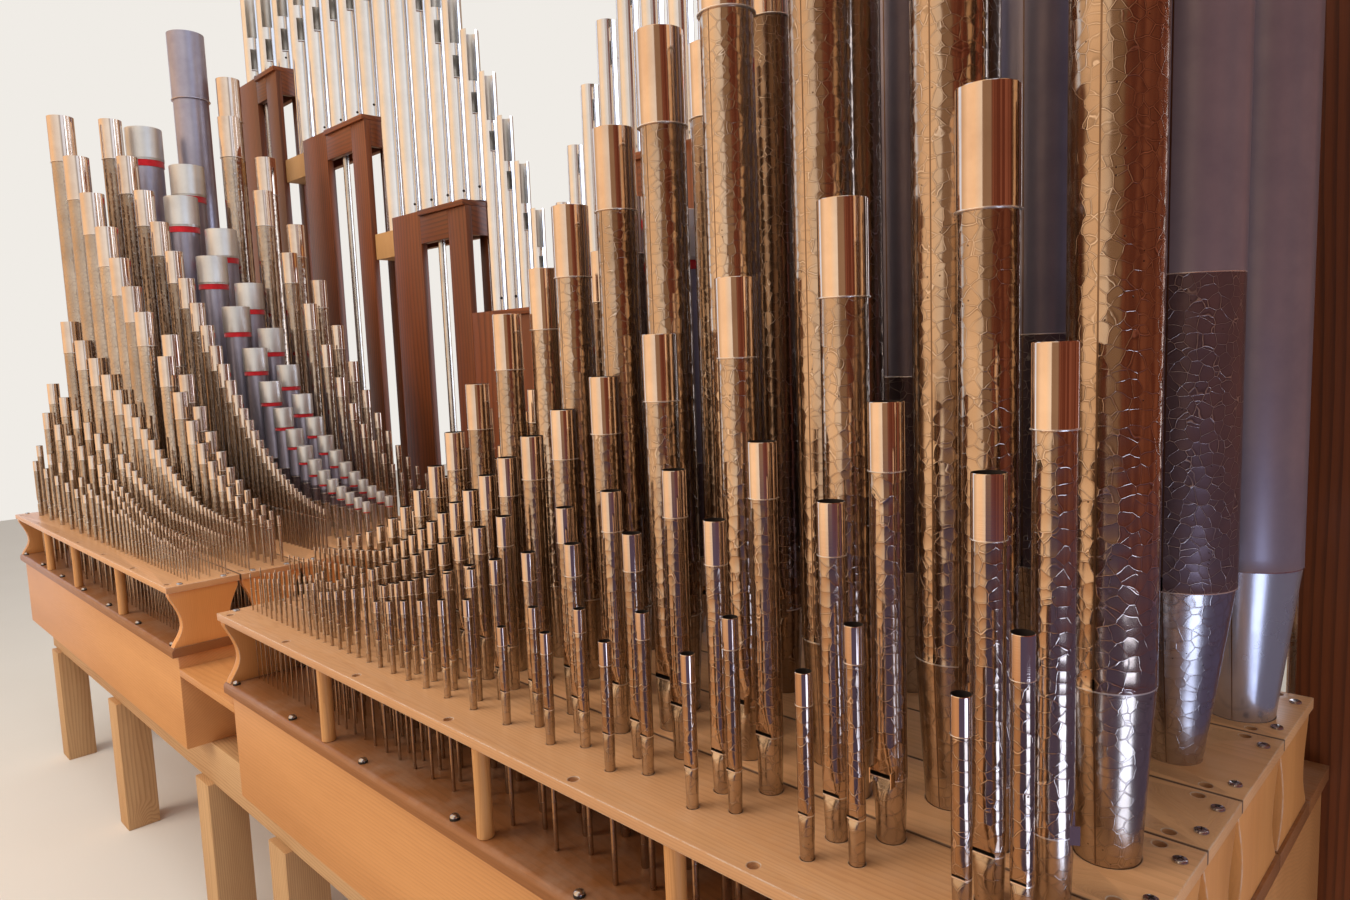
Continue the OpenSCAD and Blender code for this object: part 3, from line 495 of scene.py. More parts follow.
for side in ("right", "left"):
    board = timbers("rackboards_" + side, rack_wood, 0.001, 31, shortest=0.008)
    low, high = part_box("rackboards_" + side)
    corners, faces = [], []
    for x, y in access_holes(side):
        drill, walls = turned([(HOLE_R, low.z - CUT_PAST), (HOLE_R, high.z + CUT_PAST)], HOLE_STEPS, x, y)
        faces += [tuple(i + len(corners) for i in wall) for wall in walls]
        corners += drill
    cutter = bpy.data.objects.new("hole_cutter", new_mesh("hole_cutter", corners, faces))
    bpy.context.scene.collection.objects.link(cutter)
    cut = board.modifiers.new("access_holes", "BOOLEAN")
    cut.object, cut.operation, cut.solver = cutter, "DIFFERENCE", "EXACT"
    bpy.context.view_layer.update()
    drilled = bpy.data.meshes.new_from_object(board.evaluated_get(bpy.context.evaluated_depsgraph_get()))
    board.modifiers.clear()
    board.data = drilled
    bpy.data.objects.remove(cutter)
    timbers("rack_end_blocks_" + side, block_wood, 0.0008, 32)


def solids(name):
    """Middle, lowest and highest level and half width of each solid of a CAD node, from the outer end inwards."""
    found = [((low[0] + high[0]) / 2, (low[1] + high[1]) / 2, low[2], high[2], (high[0] - low[0]) / 2)
             for low, high in parts_of(name)]
    return sorted(found, key=lambda solid: -abs(solid[0]))


for side in ("right", "left"):
    corners, faces = [], []
    for x, y, low, high, r in solids("rack_pillars_" + side):
        lathe = [(r - PILLAR_ARRIS, low), (r, low + PILLAR_ARRIS), (r * PILLAR_WAIST, (low + high) / 2),
                 (r, high - PILLAR_ARRIS), (r - PILLAR_ARRIS, high)]
        ring, walls = turned(lathe, PILLAR_STEPS, x, y)
        faces += [tuple(i + len(corners) for i in wall) for wall in walls]
        corners += ring
    mesh = new_mesh("pillars_" + side, corners, faces)
    smooth(mesh, 40)
    mark_planks(mesh, 33)
    mesh.materials.append(pillar_wood)
    show("pillars_" + side, mesh, "rack_pillars_" + side)


# Pipes of the mixture rows.
# Small pipes of tin and lead, planished with a round hammer, so that a net of fine ridges stands between the marks.
# Each has a foot, a pressed mouth, a thin wall and a smooth slide with a beaded lower edge that tunes it.
def toned(tree, cloud, low, share, light, dark):
    """A light metal that passes into a dark one, by a share of a cloud and for the rest by the pipe's own tone."""
    tone = node(tree, "Attribute", attribute_name="pipe_tone").outputs["Fac"]
    own = reckon(tree, "MULTIPLY", tone, 1 - share)
    return blend(tree, reckon(tree, "ADD", spread(tree, cloud, low, 0.7, 0.0, share), own, clamped=True), light, dark)


def hammered(name, light, dark, rough, depth, lines, shine=0.5, metallic=1.0):
    """Cast and planished pipe metal: dished hammer marks, fine ridges between them, pits and a little tarnish.

    depth is the height of the relief in metres, lines the ridges' share of it, and shine how strongly a painted
    highlight lightens the ridges; the metal beside them is darkened as painted shade.
    """
    made, tree, surface, place = new_finish(name)
    blow = {"Vector": swayed(tree, place, place, 60.0, 1.0, 0.007), "Scale": 76.0, "Randomness": 0.85}
    border = node(tree, "TexVoronoi", blow, feature="DISTANCE_TO_EDGE").outputs["Distance"]
    middle = node(tree, "TexVoronoi", blow, feature="F1").outputs["Distance"]
    dish = reckon(tree, "POWER", middle, 2.0)
    ridge = spread(tree, border, 0.003, 0.034, 1.0, 0.0, soft=True)
    gaps = spread(tree, noise(tree, place, 55.0, 2.0), 0.38, 0.58, 0.4, 1.0, soft=True)
    ridge = reckon(tree, "MULTIPLY", ridge, gaps)
    wobble = reckon(tree, "MULTIPLY", noise(tree, place, 24.0, 0.5), 0.45)
    spots = node(tree, "TexVoronoi", {"Vector": place, "Scale": 150.0})
    spot = spread(tree, spots.outputs["Distance"], 0.09, 0.17, 1.0, 0.0, soft=True)
    few = node(tree, "SeparateColor", {0: spots.outputs["Color"]}).outputs[0]
    pit = reckon(tree, "MULTIPLY", spot, reckon(tree, "GREATER_THAN", few, 0.86))
    height = reckon(tree, "MULTIPLY", ridge, lines)
    height = reckon(tree, "ADD", height, dish)
    height = reckon(tree, "ADD", height, wobble)
    height = reckon(tree, "SUBTRACT", height, reckon(tree, "MULTIPLY", pit, 0.3))
    bump = node(tree, "Bump", {"Height": height, "Strength": 1.0, "Distance": depth}).outputs[0]
    cloud = noise(tree, place, 9.0, 4.0, 0.6)
    colour = toned(tree, cloud, 0.3, 0.55, light, dark)
    # Painted shade: the metal beside the ridges is darkened, as the shaded side of the relief.
    ridge_shade = spread(tree, border, 0.03, 0.11, 1.0, 0.0, soft=True)
    ridge_shade = reckon(tree, "MULTIPLY", reckon(tree, "MULTIPLY", ridge_shade, gaps), 0.45)
    colour = blend(tree, ridge_shade, colour, darker(dark, 0.35))
    # Painted highlight: the ridges are lightened towards a pale colour, as much as shine asks.
    colour = blend(tree, reckon(tree, "MULTIPLY", ridge, shine), colour, linear(236, 226, 218))
    colour = blend(tree, reckon(tree, "MULTIPLY", pit, 0.7), colour, linear(60, 44, 34))
    roughness = spread(tree, cloud, 0.3, 0.7, rough - 0.04, rough + 0.09)
    join(tree, surface, {"Base Color": colour, "Metallic": metallic, "Roughness": roughness, "Normal": bump})
    return made


def rolled(name, light, dark, rough, streaks=900.0, bumps=0.00004, metallic=1.0):
    """Smooth rolled or turned metal: faint marks round the tube, and fingered patches."""
    made, tree, surface, place = new_finish(name)
    fine = noise(tree, node(tree, "Mapping", {"Vector": place, "Scale": (6.0, 6.0, streaks)}).outputs[0], 1.0, 2.0)
    cloud = noise(tree, place, 16.0, 4.0, 0.6)
    colour = toned(tree, cloud, 0.35, 0.6, light, dark)
    roughness = spread(tree, cloud, 0.3, 0.7, rough - 0.03, rough + 0.06)
    bump = node(tree, "Bump", {"Height": fine, "Strength": 0.7, "Distance": bumps}).outputs[0]
    join(tree, surface, {"Base Color": colour, "Metallic": metallic, "Roughness": roughness, "Normal": bump})
    return made


def shade_finish(name, colour):
    """The unlit inside of a pipe: dull metal, grey with dust."""
    # Painted shade: a near-black colour for hollows where no light reaches; the grey patches are dust.
    made, tree, surface, place = new_finish(name)
    cloud = noise(tree, place, 60.0, 3.0)
    dusty = tuple(min(1.0, c * 2.2) for c in colour[:3]) + (1.0,)
    join(tree, surface, {"Base Color": blend(tree, cloud, colour, dusty), "Metallic": 0.4, "Roughness": 0.7})
    return made


class Pipework:
    """Gathers the corners, faces and metals of a whole rank of pipes, and makes one mesh of them."""

    def __init__(self):
        self.corners, self.faces, self.metals, self.tones, self.count = [], [], [], [], 0

    def add(self, corners, faces, metals, tone):
        """One more piece, with a metal for each face and one tone from 0 to 1."""
        self.corners.append(np.asarray(corners, float))
        self.faces += [tuple(int(i) + self.count for i in face) for face in faces]
        self.metals += list(metals)
        self.tones.append(np.full(len(corners), tone))
        self.count += len(corners)

    def show(self, name, finishes, replaced, slot):
        """Puts all that was gathered in the scene as one piece."""
        made = new_mesh(name, np.concatenate(self.corners).tolist(), self.faces)
        made.polygons.foreach_set("material_index", self.metals)
        smooth(made, 32)
        tone = made.attributes.new("pipe_tone", "FLOAT", "POINT")
        tone.data.foreach_set("value", np.concatenate(self.tones).astype(np.float32))
        for finish in finishes:
            made.materials.append(finish)
        show(name, made, replaced)


BODY, SLIDE, BEAD, INSIDE, FOOT, SEAM, UPPER = METALS = range(7)
RACK_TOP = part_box("rackboards_right")[1].z
SLIDE_OVER_BODY, BEAD_OVER_SLIDE = 1.045, 1.06
MOUTH_HALF = math.radians(45)
SEAM_HALF, SEAMED_FROM = 0.0009, 0.012
RIM = 0.0006
EAR_T = 0.0012


def lathe_steps(radius):
    """Steps round a pipe: more for a wide one. The mouth's edges fall on steps."""
    return 16 if radius < 0.007 else 24 if radius < 0.015 else 32 if radius < 0.028 else 40 if radius < 0.045 else 48


def pipe_rings(toe, top, r, rack_r, sill, slide, change):
    """The rings of a pipe from its toe to its top and down inside, and the number of the last ring below the mouth.

    A ring is its level, its radius, how far the mouth's flat reaches round it, and the metal above it.
    """
    z_sill = RACK_TOP + sill
    lip, wall = 0.27 * r, 0.0007 + 0.012 * r
    lower_h, upper_h = min(1.5 * r, 0.8 * sill), 2.6 * r
    flat_rings = round(MOUTH_HALF / (2 * math.pi / lathe_steps(r)))
    rings = [(toe, 0.42 * r, 0, FOOT), (toe + 0.25 * r, 0.5 * r, 0, FOOT), (RACK_TOP - 0.05, 0.5 * r, 0, FOOT),
             (RACK_TOP - 0.004, rack_r * 0.985, 0, FOOT), (RACK_TOP + 0.0015, rack_r, 0, FOOT)]
    # The foot widens to the mouth, with a flat that widens with it. A thin edge of the languid shows all round.
    for k in range(flat_rings):
        share = k / flat_rings
        z = z_sill - lower_h * (1 - share)
        widened = min(1.0, max(0.0, (z - RACK_TOP) / sill))
        rings.append((z, rack_r + (r * 0.985 - rack_r) * widened, MOUTH_HALF * share, FOOT))
    rings.append((z_sill - 0.0014, r * 0.985, MOUTH_HALF, FOOT))
    rings += [(z_sill - 0.0012, r * 1.006, MOUTH_HALF, BEAD), (z_sill - 0.0002, r * 1.006, MOUTH_HALF, BEAD)]
    sill_ring = len(rings) - 1
    # The body starts with the mouth, and its flat narrows to a point above it.
    rings += [(z_sill + 0.0002, r * 1.004, MOUTH_HALF, BODY), (z_sill + lip, r, MOUTH_HALF, BODY)]
    for k in range(1, flat_rings + 1):
        share = k / flat_rings
        rings.append((z_sill + lip + upper_h * share, r, MOUTH_HALF * (1 - share), BODY))
    if change:
        rings += [(change - 0.0009, r, 0, BODY), (change - 0.0005, r * 1.008, 0, BEAD),
                  (change + 0.0005, r * 1.008, 0, BEAD), (change + 0.0009, r, 0, UPPER)]
    if slide:
        slide_z, slide_r, bead_h = top - 4 * r, r * SLIDE_OVER_BODY, 0.09 * r
        bead_r, inner = slide_r * BEAD_OVER_SLIDE, slide_r - wall
        rings += [(slide_z, r, 0, BEAD), (slide_z, slide_r, 0, BEAD)]
        rings += [(slide_z + up * bead_h, bead_r * out, 0, BEAD) for up, out in ((0.2, 0.99), (0.5, 1), (0.8, 0.99))]
        rings += [(slide_z + bead_h, slide_r, 0, SLIDE), (top - RIM, slide_r, 0, SLIDE),
                  (top, slide_r - 0.0004, 0, SLIDE)]
    else:
        inner = r - wall
        rings += [(top - RIM, r, 0, BODY), (top, r - 0.0004, 0, SLIDE)]
    return rings + [(top, inner, 0, INSIDE), (top - 3.6 * r, inner, 0, INSIDE)], sill_ring


def add_pipe(work, x, y, toe, top, r, rack_r, sill, facing=-90, slide=True, tone=0.5, change=None, ears=False, shift=0):
    """One open pipe, which stands on its toe and passes the rackboard with the radius rack_r.

    Its mouth starts by sill above the rackboard and faces a compass direction: -90 is the front, 90 the case.
    change is the level where another metal starts. shift is added to the number of each metal.
    """
    ahead = (math.cos(math.radians(facing)), math.sin(math.radians(facing)))

    def placed(out, across, level):
        """A point so far out of the mouth's side, and so far to its right."""
        return (x + out * ahead[0] - across * ahead[1], y + out * ahead[1] + across * ahead[0], level)

    rings, sill_ring = pipe_rings(toe, top, r, rack_r, sill, slide, change)
    steps = lathe_steps(r)
    seam_step = steps // 2
    angles = [k * (2 * math.pi / steps) for k in range(steps)]
    angles[seam_step:seam_step + 1] = [math.pi - SEAM_HALF / r, math.pi + SEAM_HALF / r]
    angles = np.array(angles)
    signed = (angles + math.pi) % (2 * math.pi) - math.pi
    count = len(angles)
    corners = []
    for level, radius, flat, metal in rings:
        reach = np.full(count, radius)
        if flat > 0:
            pressed = np.abs(signed) <= flat + 1e-6
            reach[pressed] = radius * math.cos(flat) / np.cos(signed[pressed])
        corners += list(zip(*placed(reach * np.cos(angles), reach * np.sin(angles), np.full(count, level))))
    faces, metals = [], []
    for ring in range(len(rings) - 1):
        start, (level, _, _, metal), metal_above = ring * count, rings[ring], rings[ring + 1][3]
        for k in range(count):
            n = (k + 1) % count
            if ring == sill_ring + 1 and abs(signed[k] + signed[n]) / 2 < MOUTH_HALF:
                continue
            faces.append((start + k, start + n, start + count + n, start + count + k))
            seam = k == seam_step and r > SEAMED_FROM and metal in (BODY, FOOT, UPPER) and level > RACK_TOP
            metals.append(SEAM if seam else INSIDE if metal_above == INSIDE else metal)
    # The face that closes the inside deep down is painted shade, dark for the hollow it stands for.
    faces += [tuple(range(count))[::-1], tuple(range((len(rings) - 1) * count, len(rings) * count))]
    metals += [FOOT, INSIDE]
    # The languid closes the foot inside the mouth, and the air passes the narrow slit before it.
    across = sorted((k for k in range(count) if abs(signed[k]) <= MOUTH_HALF + 1e-6), key=lambda k: signed[k])
    low = [(sill_ring + 1) * count + k for k in across]
    high = [(sill_ring + 2) * count + k for k in across]
    back = len(corners)
    for level in (rings[sill_ring + 1][0], rings[sill_ring + 2][0]):
        corners += [placed(0.15 * r, turn * 0.62 * r, level) for turn in (-1, 1)]
    faces += [tuple(low) + (back + 1, back), tuple(high[::-1]) + (back + 2, back + 3),
              (back, back + 1, back + 3, back + 2), (low[0], back, back + 2, high[0]),
              (low[-1], high[-1], back + 3, back + 1)]
    # The languid has the dark inside finish, painted shade in the mouth.
    metals += [INSIDE] * 5
    work.add(corners, faces, [metal + shift for metal in metals], tone)
    if ears:
        flat, z_sill = r * math.cos(MOUTH_HALF), RACK_TOP + sill
        wide, tall = 0.26 * r + 0.003, 0.95 * r
        for turn in (-1, 1):
            at = turn * r * math.sin(MOUTH_HALF)
            box = [placed(out, side_way, level) for side_way in (at - EAR_T / 2, at + EAR_T / 2)
                   for out in (flat - 0.001, flat + wide) for level in (z_sill - 0.35 * tall, z_sill + 0.65 * tall)]
            sides = [(0, 1, 3, 2), (4, 6, 7, 5), (0, 4, 5, 1), (2, 3, 7, 6), (0, 2, 6, 4), (1, 5, 7, 3)]
            work.add(box, sides, [SLIDE + shift] * 6, tone)


# Painted shade: the pipes' insides, languids and inner floors are near-black.
inside_dark = shade_finish("pipe_inside", linear(38, 32, 28))
spotted = hammered("spotted_metal_hammered", linear(214, 199, 182), linear(172, 152, 132), 0.13, 0.0005, 0.22, 0.75)
spotted_foot = hammered("spotted_metal_foot", linear(214, 204, 190), linear(172, 156, 138), 0.21, 0.00025, 0.40)
slide_tin = rolled("slide_tin", linear(238, 224, 211), linear(216, 198, 183), 0.07)
bead_tin = rolled("bead_tin", linear(250, 246, 240), linear(236, 228, 218), 0.26, metallic=0.85)
seam_solder = rolled("seam_solder", linear(150, 128, 108), linear(112, 90, 72), 0.34)
SPOTTED = [spotted, slide_tin, bead_tin, inside_dark, spotted_foot, seam_solder, spotted]


def open_rank(node_name, finishes, slot, seed, rack_share, sill, facing=-90, first_facing=None, eared_over=0.03,
              second_metal=None):
    """Makes a rank of open pipes again from the places and sizes of its solids.

    sill gives the height of a mouth over the rackboard from the pipe's share of the widest one and from its number.
    Pipes with a half width over eared_over have ears. From the number second_metal on, they have the next metals.
    """
    work = Pipework()
    chance = np.random.default_rng(seed)
    pipes = solids(node_name)
    widest = pipes[0][4]
    for number, (x, y, toe, top, half) in enumerate(pipes):
        r = half / BEAD_OVER_SLIDE / SLIDE_OVER_BODY
        way = facing if first_facing is None or number else first_facing if x > 0 else 180 - first_facing
        shift = len(METALS) if second_metal is not None and number >= second_metal else 0
        add_pipe(work, x, y, toe, top, r, rack_share * r, sill(half / widest, number), way,
                 tone=chance.random(), ears=half > eared_over, shift=shift)
    work.show(node_name + "_pipes", finishes, node_name, slot)


for side in ("right", "left"):
    for row, foot in ((1, 0.047), (2, 0.048), (3, 0.048)):
        open_rank("mixture_%d_%s" % (row, side), SPOTTED, "spotted_metal", 40 + row, 0.86, lambda share, number: foot)
    open_rank("mixture_4_" + side, SPOTTED, "spotted_metal", 44, 0.86, lambda share, number: 0.068,
              first_facing=30, eared_over=0.0185)


# Octave, principal and dark ranks.
# The same planished metal in wider and longer pipes. The principal turns its mouths to the case and its seams
# to the front. The dark rank behind it is painted darker and browner, as painted shade for the dark room it reflects.
# Painted shade: these colours are darker than the metal, for the dark reflections of this rank.
shade_darkened = hammered("shade_darkened_metal_hammered", linear(176, 156, 136), linear(124, 104, 86), 0.18, 0.0005, 0.22, 0.7)
shade_darkened_foot = hammered("shade_darkened_metal_foot", linear(180, 164, 148), linear(130, 112, 96), 0.22, 0.00025, 0.40)
SHADE_DARKENED = [shade_darkened, slide_tin, bead_tin, inside_dark, shade_darkened_foot, seam_solder, shade_darkened]
SHORTEST_FOOT = 0.095
for side in ("right", "left"):
    open_rank("octave_rank_" + side, SPOTTED, "spotted_metal", 51, 0.84, lambda share, number: 0.070, eared_over=0.026)
    open_rank("principal_rank_" + side, SPOTTED, "spotted_metal", 52, 0.74,
              lambda share, number: SHORTEST_FOOT + 0.080 * share ** 2, facing=90, eared_over=0.02)
    open_rank("dark_rank_" + side, SHADE_DARKENED, "dark_metal", 53, 0.74,
              lambda share, number: SHORTEST_FOOT + 0.050 * share ** 2, eared_over=0.024)


# Back rank.
# Its longest pipe is rolled zinc, matt and bluish, with a conical foot of the same sheet.
# The others are spotted metal again.
zinc = rolled("zinc_sheet", linear(176, 172, 188), linear(154, 150, 168), 0.34, 30.0, bumps=0.00003, metallic=0.75)
zinc_foot = rolled("zinc_foot", linear(204, 205, 214), linear(184, 185, 196), 0.24, streaks=30.0, metallic=0.8)
zinc_bead = rolled("zinc_bead", linear(206, 204, 214), linear(180, 178, 190), 0.25)
ZINC = [zinc, zinc, zinc_bead, inside_dark, zinc_foot, seam_solder, zinc]
for side in ("right", "left"):
    open_rank("back_rank_" + side, ZINC + SPOTTED, "zinc", 61, 0.62,
              lambda share, number: SHORTEST_FOOT + 0.108 * 2 ** (-2 * number / 9), facing=90, second_metal=1)


# Stopped flute.
# Zinc bodies with a planished lower part and foot, stopped by spun metal caps.
# Each cap is packed with a strip of red felt, whose edge shows under it.
LOWER_SHARE = 0.27
flute_hammered = hammered("flute_metal_hammered", linear(144, 130, 138), linear(102, 90, 97), 0.30, 0.0005, 0.40,
                          shine=0.6, metallic=0.85)
flute_foot = hammered("flute_metal_foot", linear(212, 210, 210), linear(174, 170, 170), 0.22, 0.00025, 0.5, shine=0.6)
FLUTE = [flute_hammered, zinc, bead_tin, inside_dark, flute_foot, seam_solder, zinc]
cap_metal = rolled("cap_metal", linear(226, 225, 223), linear(206, 204, 201), 0.36,
                   streaks=2400.0, bumps=0.00006, metallic=0.8)


def felt():
    """Thick red wool felt with a nap."""
    made, tree, surface, place = new_finish("red_felt")
    nap = noise(tree, place, 900.0, 3.0)
    mixed = spread(tree, reckon(tree, "MULTIPLY", nap, noise(tree, place, 60.0, 3.0)), 0.1, 0.45)
    bump = node(tree, "Bump", {"Height": nap, "Strength": 0.8, "Distance": 0.0004}).outputs[0]
    join(tree, surface, {"Base Color": blend(tree, mixed, linear(190, 16, 30), linear(232, 40, 52)), "Roughness": 0.95,
                         "Sheen Weight": 0.5, "Sheen Roughness": 0.5, "Normal": bump})
    return made


def cap_profile(body_r, r, low, high):
    """A spun cap with a raised band near its edge, a rounded shoulder and a slightly sunk crown."""
    return [(body_r + 0.0005, low), (r - 0.0003, low), (r, low + 0.0004), (r, low + 0.10 * r),
            (r + 0.0003, low + 0.11 * r), (r + 0.0003, low + 0.16 * r), (r, low + 0.17 * r),
            (r, high - 0.05 * r), (r - 0.012 * r, high - 0.018 * r), (r - 0.05 * r, high),
            (0.6 * r, high), (0.55 * r, high - 0.0004), (0.04 * r, high - 0.0006)]


def felt_profile(body_r, r, low, high):
    """A strip of felt that bulges a little under the cap."""
    return [(body_r, low), (r - 0.0006, low), (r, low + 0.0008), (r + 0.0002, low + 0.3 * (high - low)), (r, high)]


red_felt = felt()
for side in ("right", "left"):
    work = Pipework()
    chance = np.random.default_rng(71)
    bodies = solids("flute_bodies_" + side)
    widest = bodies[0][4]
    for x, y, toe, top, r in bodies:
        sill = SHORTEST_FOOT + 0.118 * (r / widest) ** 2
        change = RACK_TOP + sill + LOWER_SHARE * (top - RACK_TOP - sill) + 0.004
        add_pipe(work, x, y, toe, top, r, 0.5 * r, sill, 90, slide=False,
                 tone=chance.random(), change=change, ears=r > 0.02)
    work.show("flute_bodies_%s_pipes" % side, FLUTE, "flute_bodies_" + side, "zinc")
    for name, finish, profile, slot in (("flute_caps_", cap_metal, cap_profile, "cap_metal"),
                                        ("flute_felts_", red_felt, felt_profile, "red_felt")):
        node_name = name + side
        work = Pipework()
        for (x, y, low, high, r), body in zip(solids(node_name), bodies):
            corners, faces = turned(profile(body[4], r, low, high), 40 if r > 0.02 else 28, x, y)
            work.add(corners, faces, [0] * len(faces), chance.random())
        work.show(node_name + "_pieces", [finish], node_name, slot)


# Stepped walnut case and its pipes.
# Oiled dark walnut: flat posts, wide panels and rails. Bright tin pipes stand on its boards, slim tubes in its bays.
# Each display pipe has an open notch and a tuning slot, turned half to the middle, and a pin hole near its foot,
# painted as a dark disc.
walnut_light, walnut_dark = linear(126, 64, 30), linear(74, 36, 16)
walnut_z, walnut_x = (timber("walnut_" + way, walnut_light, walnut_dark, along, ring_mm=14, ring_share=0.5, gloss=0.36)
                      for way, along in (("upright", "z"), ("long", "x")))
timbers("case_posts", walnut_z, 0.002, 81)
timbers("case_top_boards", walnut_x, 0.003, 82)
timbers("case_rails", walnut_x, 0.0015, 83)
timbers("case_panels", walnut_z, 0.001, 84)

display_tin = rolled("display_tin", linear(238, 240, 243), linear(224, 227, 231), 0.12, streaks=240.0, bumps=0.000004)
display_inside = rolled("display_inside", linear(232, 230, 226), linear(206, 203, 198), 0.34,
                        streaks=240.0, bumps=0.000004)
DISPLAY = [display_tin, display_inside, inside_dark]
DISPLAY_TURN = math.radians(65)
DISPLAY_WALL = 0.0012
NOTCH_HALF, SLOT_HALF = math.asin(0.48), math.asin(0.30)
REST_STEPS, PIN_HOLE_STEPS, CURL_STEPS = 23, 14, 12
PIN_HOLE_UP, PIN_HOLE_R = 0.042, 0.0045


def display_pipe(work, x, y, low, high, r, turn, tone):
    """A plain tube with an open notch at its top, under it a slot with a rolled tongue, and below a pin hole painted as
    a dark disc.
    """
    notch_z, slot_z = high - 5.4 * r, high - 8.8 * r
    bridge_z, floor_z = notch_z - 1.2 * r, slot_z - 0.5 * r
    full = 2 * math.pi
    rest = np.linspace(NOTCH_HALF, full - NOTCH_HALF, REST_STEPS)
    slot = [full + share * SLOT_HALF for share in (-1, -0.5, 0, 0.5, 1)]
    angles = np.concatenate([rest, slot])
    count = len(angles)
    middles = [(a + b) / 2 - full for a, b in zip(angles, [*angles[1:], angles[0] + full])]
    off = [abs((a + math.pi) % full - math.pi) for a in middles]
    outside = [(low, r - RIM), (low + RIM, r), (slot_z, r), (bridge_z, r), (notch_z, r), (high - 0.0004, r),
               (high, r - 0.0003)]
    inside = [(z, r - DISPLAY_WALL) for z in (floor_z, slot_z, bridge_z, notch_z, high)]
    corners = [(x + radius * math.sin(turn + a), y - radius * math.cos(turn + a), z)
               for z, radius in outside + inside for a in angles]
    faces, metals = [], []

    def open_at(z, k):
        """Whether the wall above this level is cut away at this step."""
        return (slot_z <= z < bridge_z and off[k] < SLOT_HALF) or (z >= notch_z and off[k] < NOTCH_HALF)

    def wall_of(rings, first, metal, flip):
        for ring, (z, _) in enumerate(rings[:-1]):
            for k in range(count):
                if not open_at(z, k):
                    n, a = (k + 1) % count, (first + ring) * count
                    quad = (a + k, a + n, a + count + n, a + count + k)
                    faces.append(quad[::-1] if flip else quad)
                    metals.append(metal)

    wall_of(outside, 0, 0, False)
    wall_of(inside, len(outside), 1, True)
    # The cut edges of notch and slot join the outer wall to the inner one.
    outer = {z: ring * count for ring, (z, _) in enumerate(outside)}
    inner = {z: (len(outside) + ring) * count for ring, (z, _) in enumerate(inside)}
    for under, over in ((slot_z, bridge_z), (notch_z, high)):
        for k in range(count):
            n = (k + 1) % count
            if open_at(under, k) != open_at(under, n):
                faces.append((outer[under] + n, outer[over] + n, inner[over] + n, inner[under] + n))
                metals.append(0)
            for z in (under, over):
                if open_at(under, k) == (z < high):
                    faces.append((outer[z] + k, outer[z] + n, inner[z] + n, inner[z] + k))
                    metals.append(0)
    # The floor inside the tube, under the slot, has the dark finish: painted shade.
    faces += [tuple(range(count))[::-1], tuple(range(inner[floor_z], inner[floor_z] + count))]
    metals += [0, 2]
    work.add(corners, faces, metals, tone)

    def on_tube(across, level, out):
        """A point on the tube's wall, so far to the right of the notch's middle, and so far out."""
        a = turn + across / r
        return (x + (r + out) * math.sin(a), y - (r + out) * math.cos(a), level)

    # Painted shade: the pin hole is a dark disc laid on the wall, not a hole.
    pin_hole = [on_tube(PIN_HOLE_R * a, low + PIN_HOLE_UP + PIN_HOLE_R * b, 0.0002) for a, b in circle(PIN_HOLE_STEPS)]
    work.add(pin_hole, [tuple(range(PIN_HOLE_STEPS))], [2], tone)
    # The tongue of the slot is rolled up on itself at the slot's lower end.
    roll, half_wide = 0.075 * r, 0.27 * r
    curl = [on_tube(across, slot_z + roll * b, roll + roll * a) for across in (-half_wide, half_wide)
            for a, b in circle(CURL_STEPS)]
    sides = [(k, (k + 1) % CURL_STEPS, CURL_STEPS + (k + 1) % CURL_STEPS, CURL_STEPS + k) for k in range(CURL_STEPS)]
    sides += [tuple(range(CURL_STEPS))[::-1], tuple(range(CURL_STEPS, 2 * CURL_STEPS))]
    work.add(curl, sides, [0] * len(sides), tone)


work = Pipework()
chance = np.random.default_rng(85)
for x, y, low, high, r in solids("display_pipes"):
    display_pipe(work, x, y, low, high, r, -DISPLAY_TURN if x > 0 else DISPLAY_TURN, chance.random())
work.show("display_pipework", DISPLAY, "display_pipes", "display_metal")

tube_metal = rolled("tube_metal", linear(222, 218, 212), linear(196, 190, 182), 0.24, streaks=120.0, bumps=0.00002)
TUBE_ARRIS = 0.0005
work = Pipework()
for x, y, low, high, r in solids("case_tubes"):
    profile = [(r - TUBE_ARRIS, low), (r, low + TUBE_ARRIS), (r, high - TUBE_ARRIS), (r - TUBE_ARRIS, high)]
    corners, faces = turned(profile, 32, x, y)
    work.add(corners, faces, [0] * len(faces), chance.random())
work.show("case_tube_metal", [tube_metal], "case_tubes", "display_metal")


# Screws and bolts.
# Chromed pan-head screws hold the rackboards to their end blocks.
# Domed bolts under the screwdriver holes hold down the toe-boards.
chrome = rolled("screw_chrome", linear(214, 214, 216), linear(180, 180, 184), 0.20, streaks=1500.0)
dark_slot = shade_finish("screw_slot", linear(40, 36, 34))
HEAD_STEPS = 24
SCREW_R, SCREW_FROM_END, SCREW_FROM_EDGE = 0.0073, 0.015, 0.034
BOLT_R = 0.0075
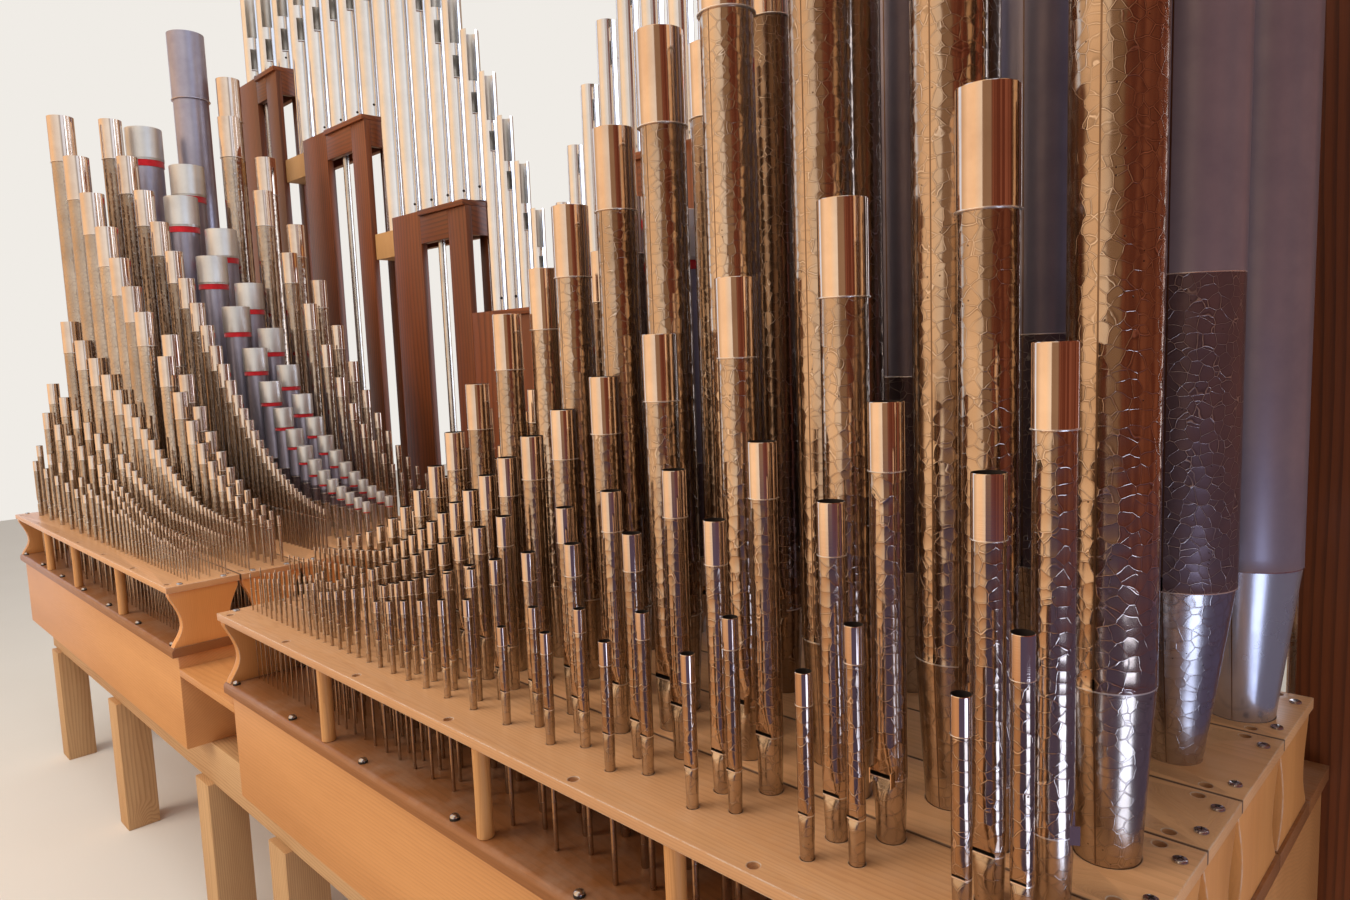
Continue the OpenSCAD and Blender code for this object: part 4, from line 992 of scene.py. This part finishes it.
# Radius and height of the heads, in shares of their radius.
PAN = [(1, 0), (1, 0.18), (0.9, 0.36), (0.68, 0.47), (0.36, 0.5)]
BOLT_SKIRT = [(1, 0), (1, 0.42), (0.97, 0.5)]
BOLT_DOME = [(0.95, 0.5), (0.9, 0.72), (0.68, 0.98), (0.36, 1.12), (0.1, 1.16)]
CROSS_UP, CROSS_HALF_LONG, CROSS_HALF_WIDE = 0.52, 0.52, 0.09


def head(work, x, y, z, r, shape, metal):
    """A turned part of a screw's or a bolt's head."""
    corners, faces = turned([(out * r, z + up * r) for out, up in shape], HEAD_STEPS, x, y)
    work.add(corners, faces, [metal] * len(faces), 0.5)


def pan_head(work, x, y, z, r, turn):
    """A pan head with a cross recess."""
    head(work, x, y, z, r, PAN, 0)
    # Painted shade: the cross recess is a dark cross laid on the top, not cut in.
    for a in (turn, turn + math.pi / 2):
        flat = []
        for s, t in ((-1, -1), (1, -1), (1, 1), (-1, 1)):
            along, across = s * CROSS_HALF_LONG * r, t * CROSS_HALF_WIDE * r
            flat.append((x + along * math.cos(a) - across * math.sin(a), y + along * math.sin(a) + across * math.cos(a),
                         z + CROSS_UP * r))
        work.add(flat, [(0, 1, 2, 3)], [1], 0.5)


for side in ("right", "left"):
    low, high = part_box("rackboards_" + side)
    chance = np.random.default_rng(91)
    work = Pipework()
    for start, stop in boards("rackboards_" + side):
        for y in (start + SCREW_FROM_EDGE, stop - SCREW_FROM_EDGE):
            for x in (low.x + SCREW_FROM_END, high.x - SCREW_FROM_END):
                pan_head(work, x, y, high.z, SCREW_R, chance.random() * math.pi)
    work.show("rack_screws_" + side, [chrome, dark_slot], None, "rack_wood")
    toe_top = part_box("toe_boards_" + side)[1].z
    work = Pipework()
    for x, y in access_holes(side):
        # Each bolt's skirt has the dark painted-shade finish; only its dome is chrome.
        head(work, x, y, toe_top, BOLT_R, BOLT_SKIRT, 1)
        head(work, x, y, toe_top, BOLT_R, BOLT_DOME, 0)
    work.show("toe_bolts_" + side, [chrome, dark_slot], None, "toe_wood")
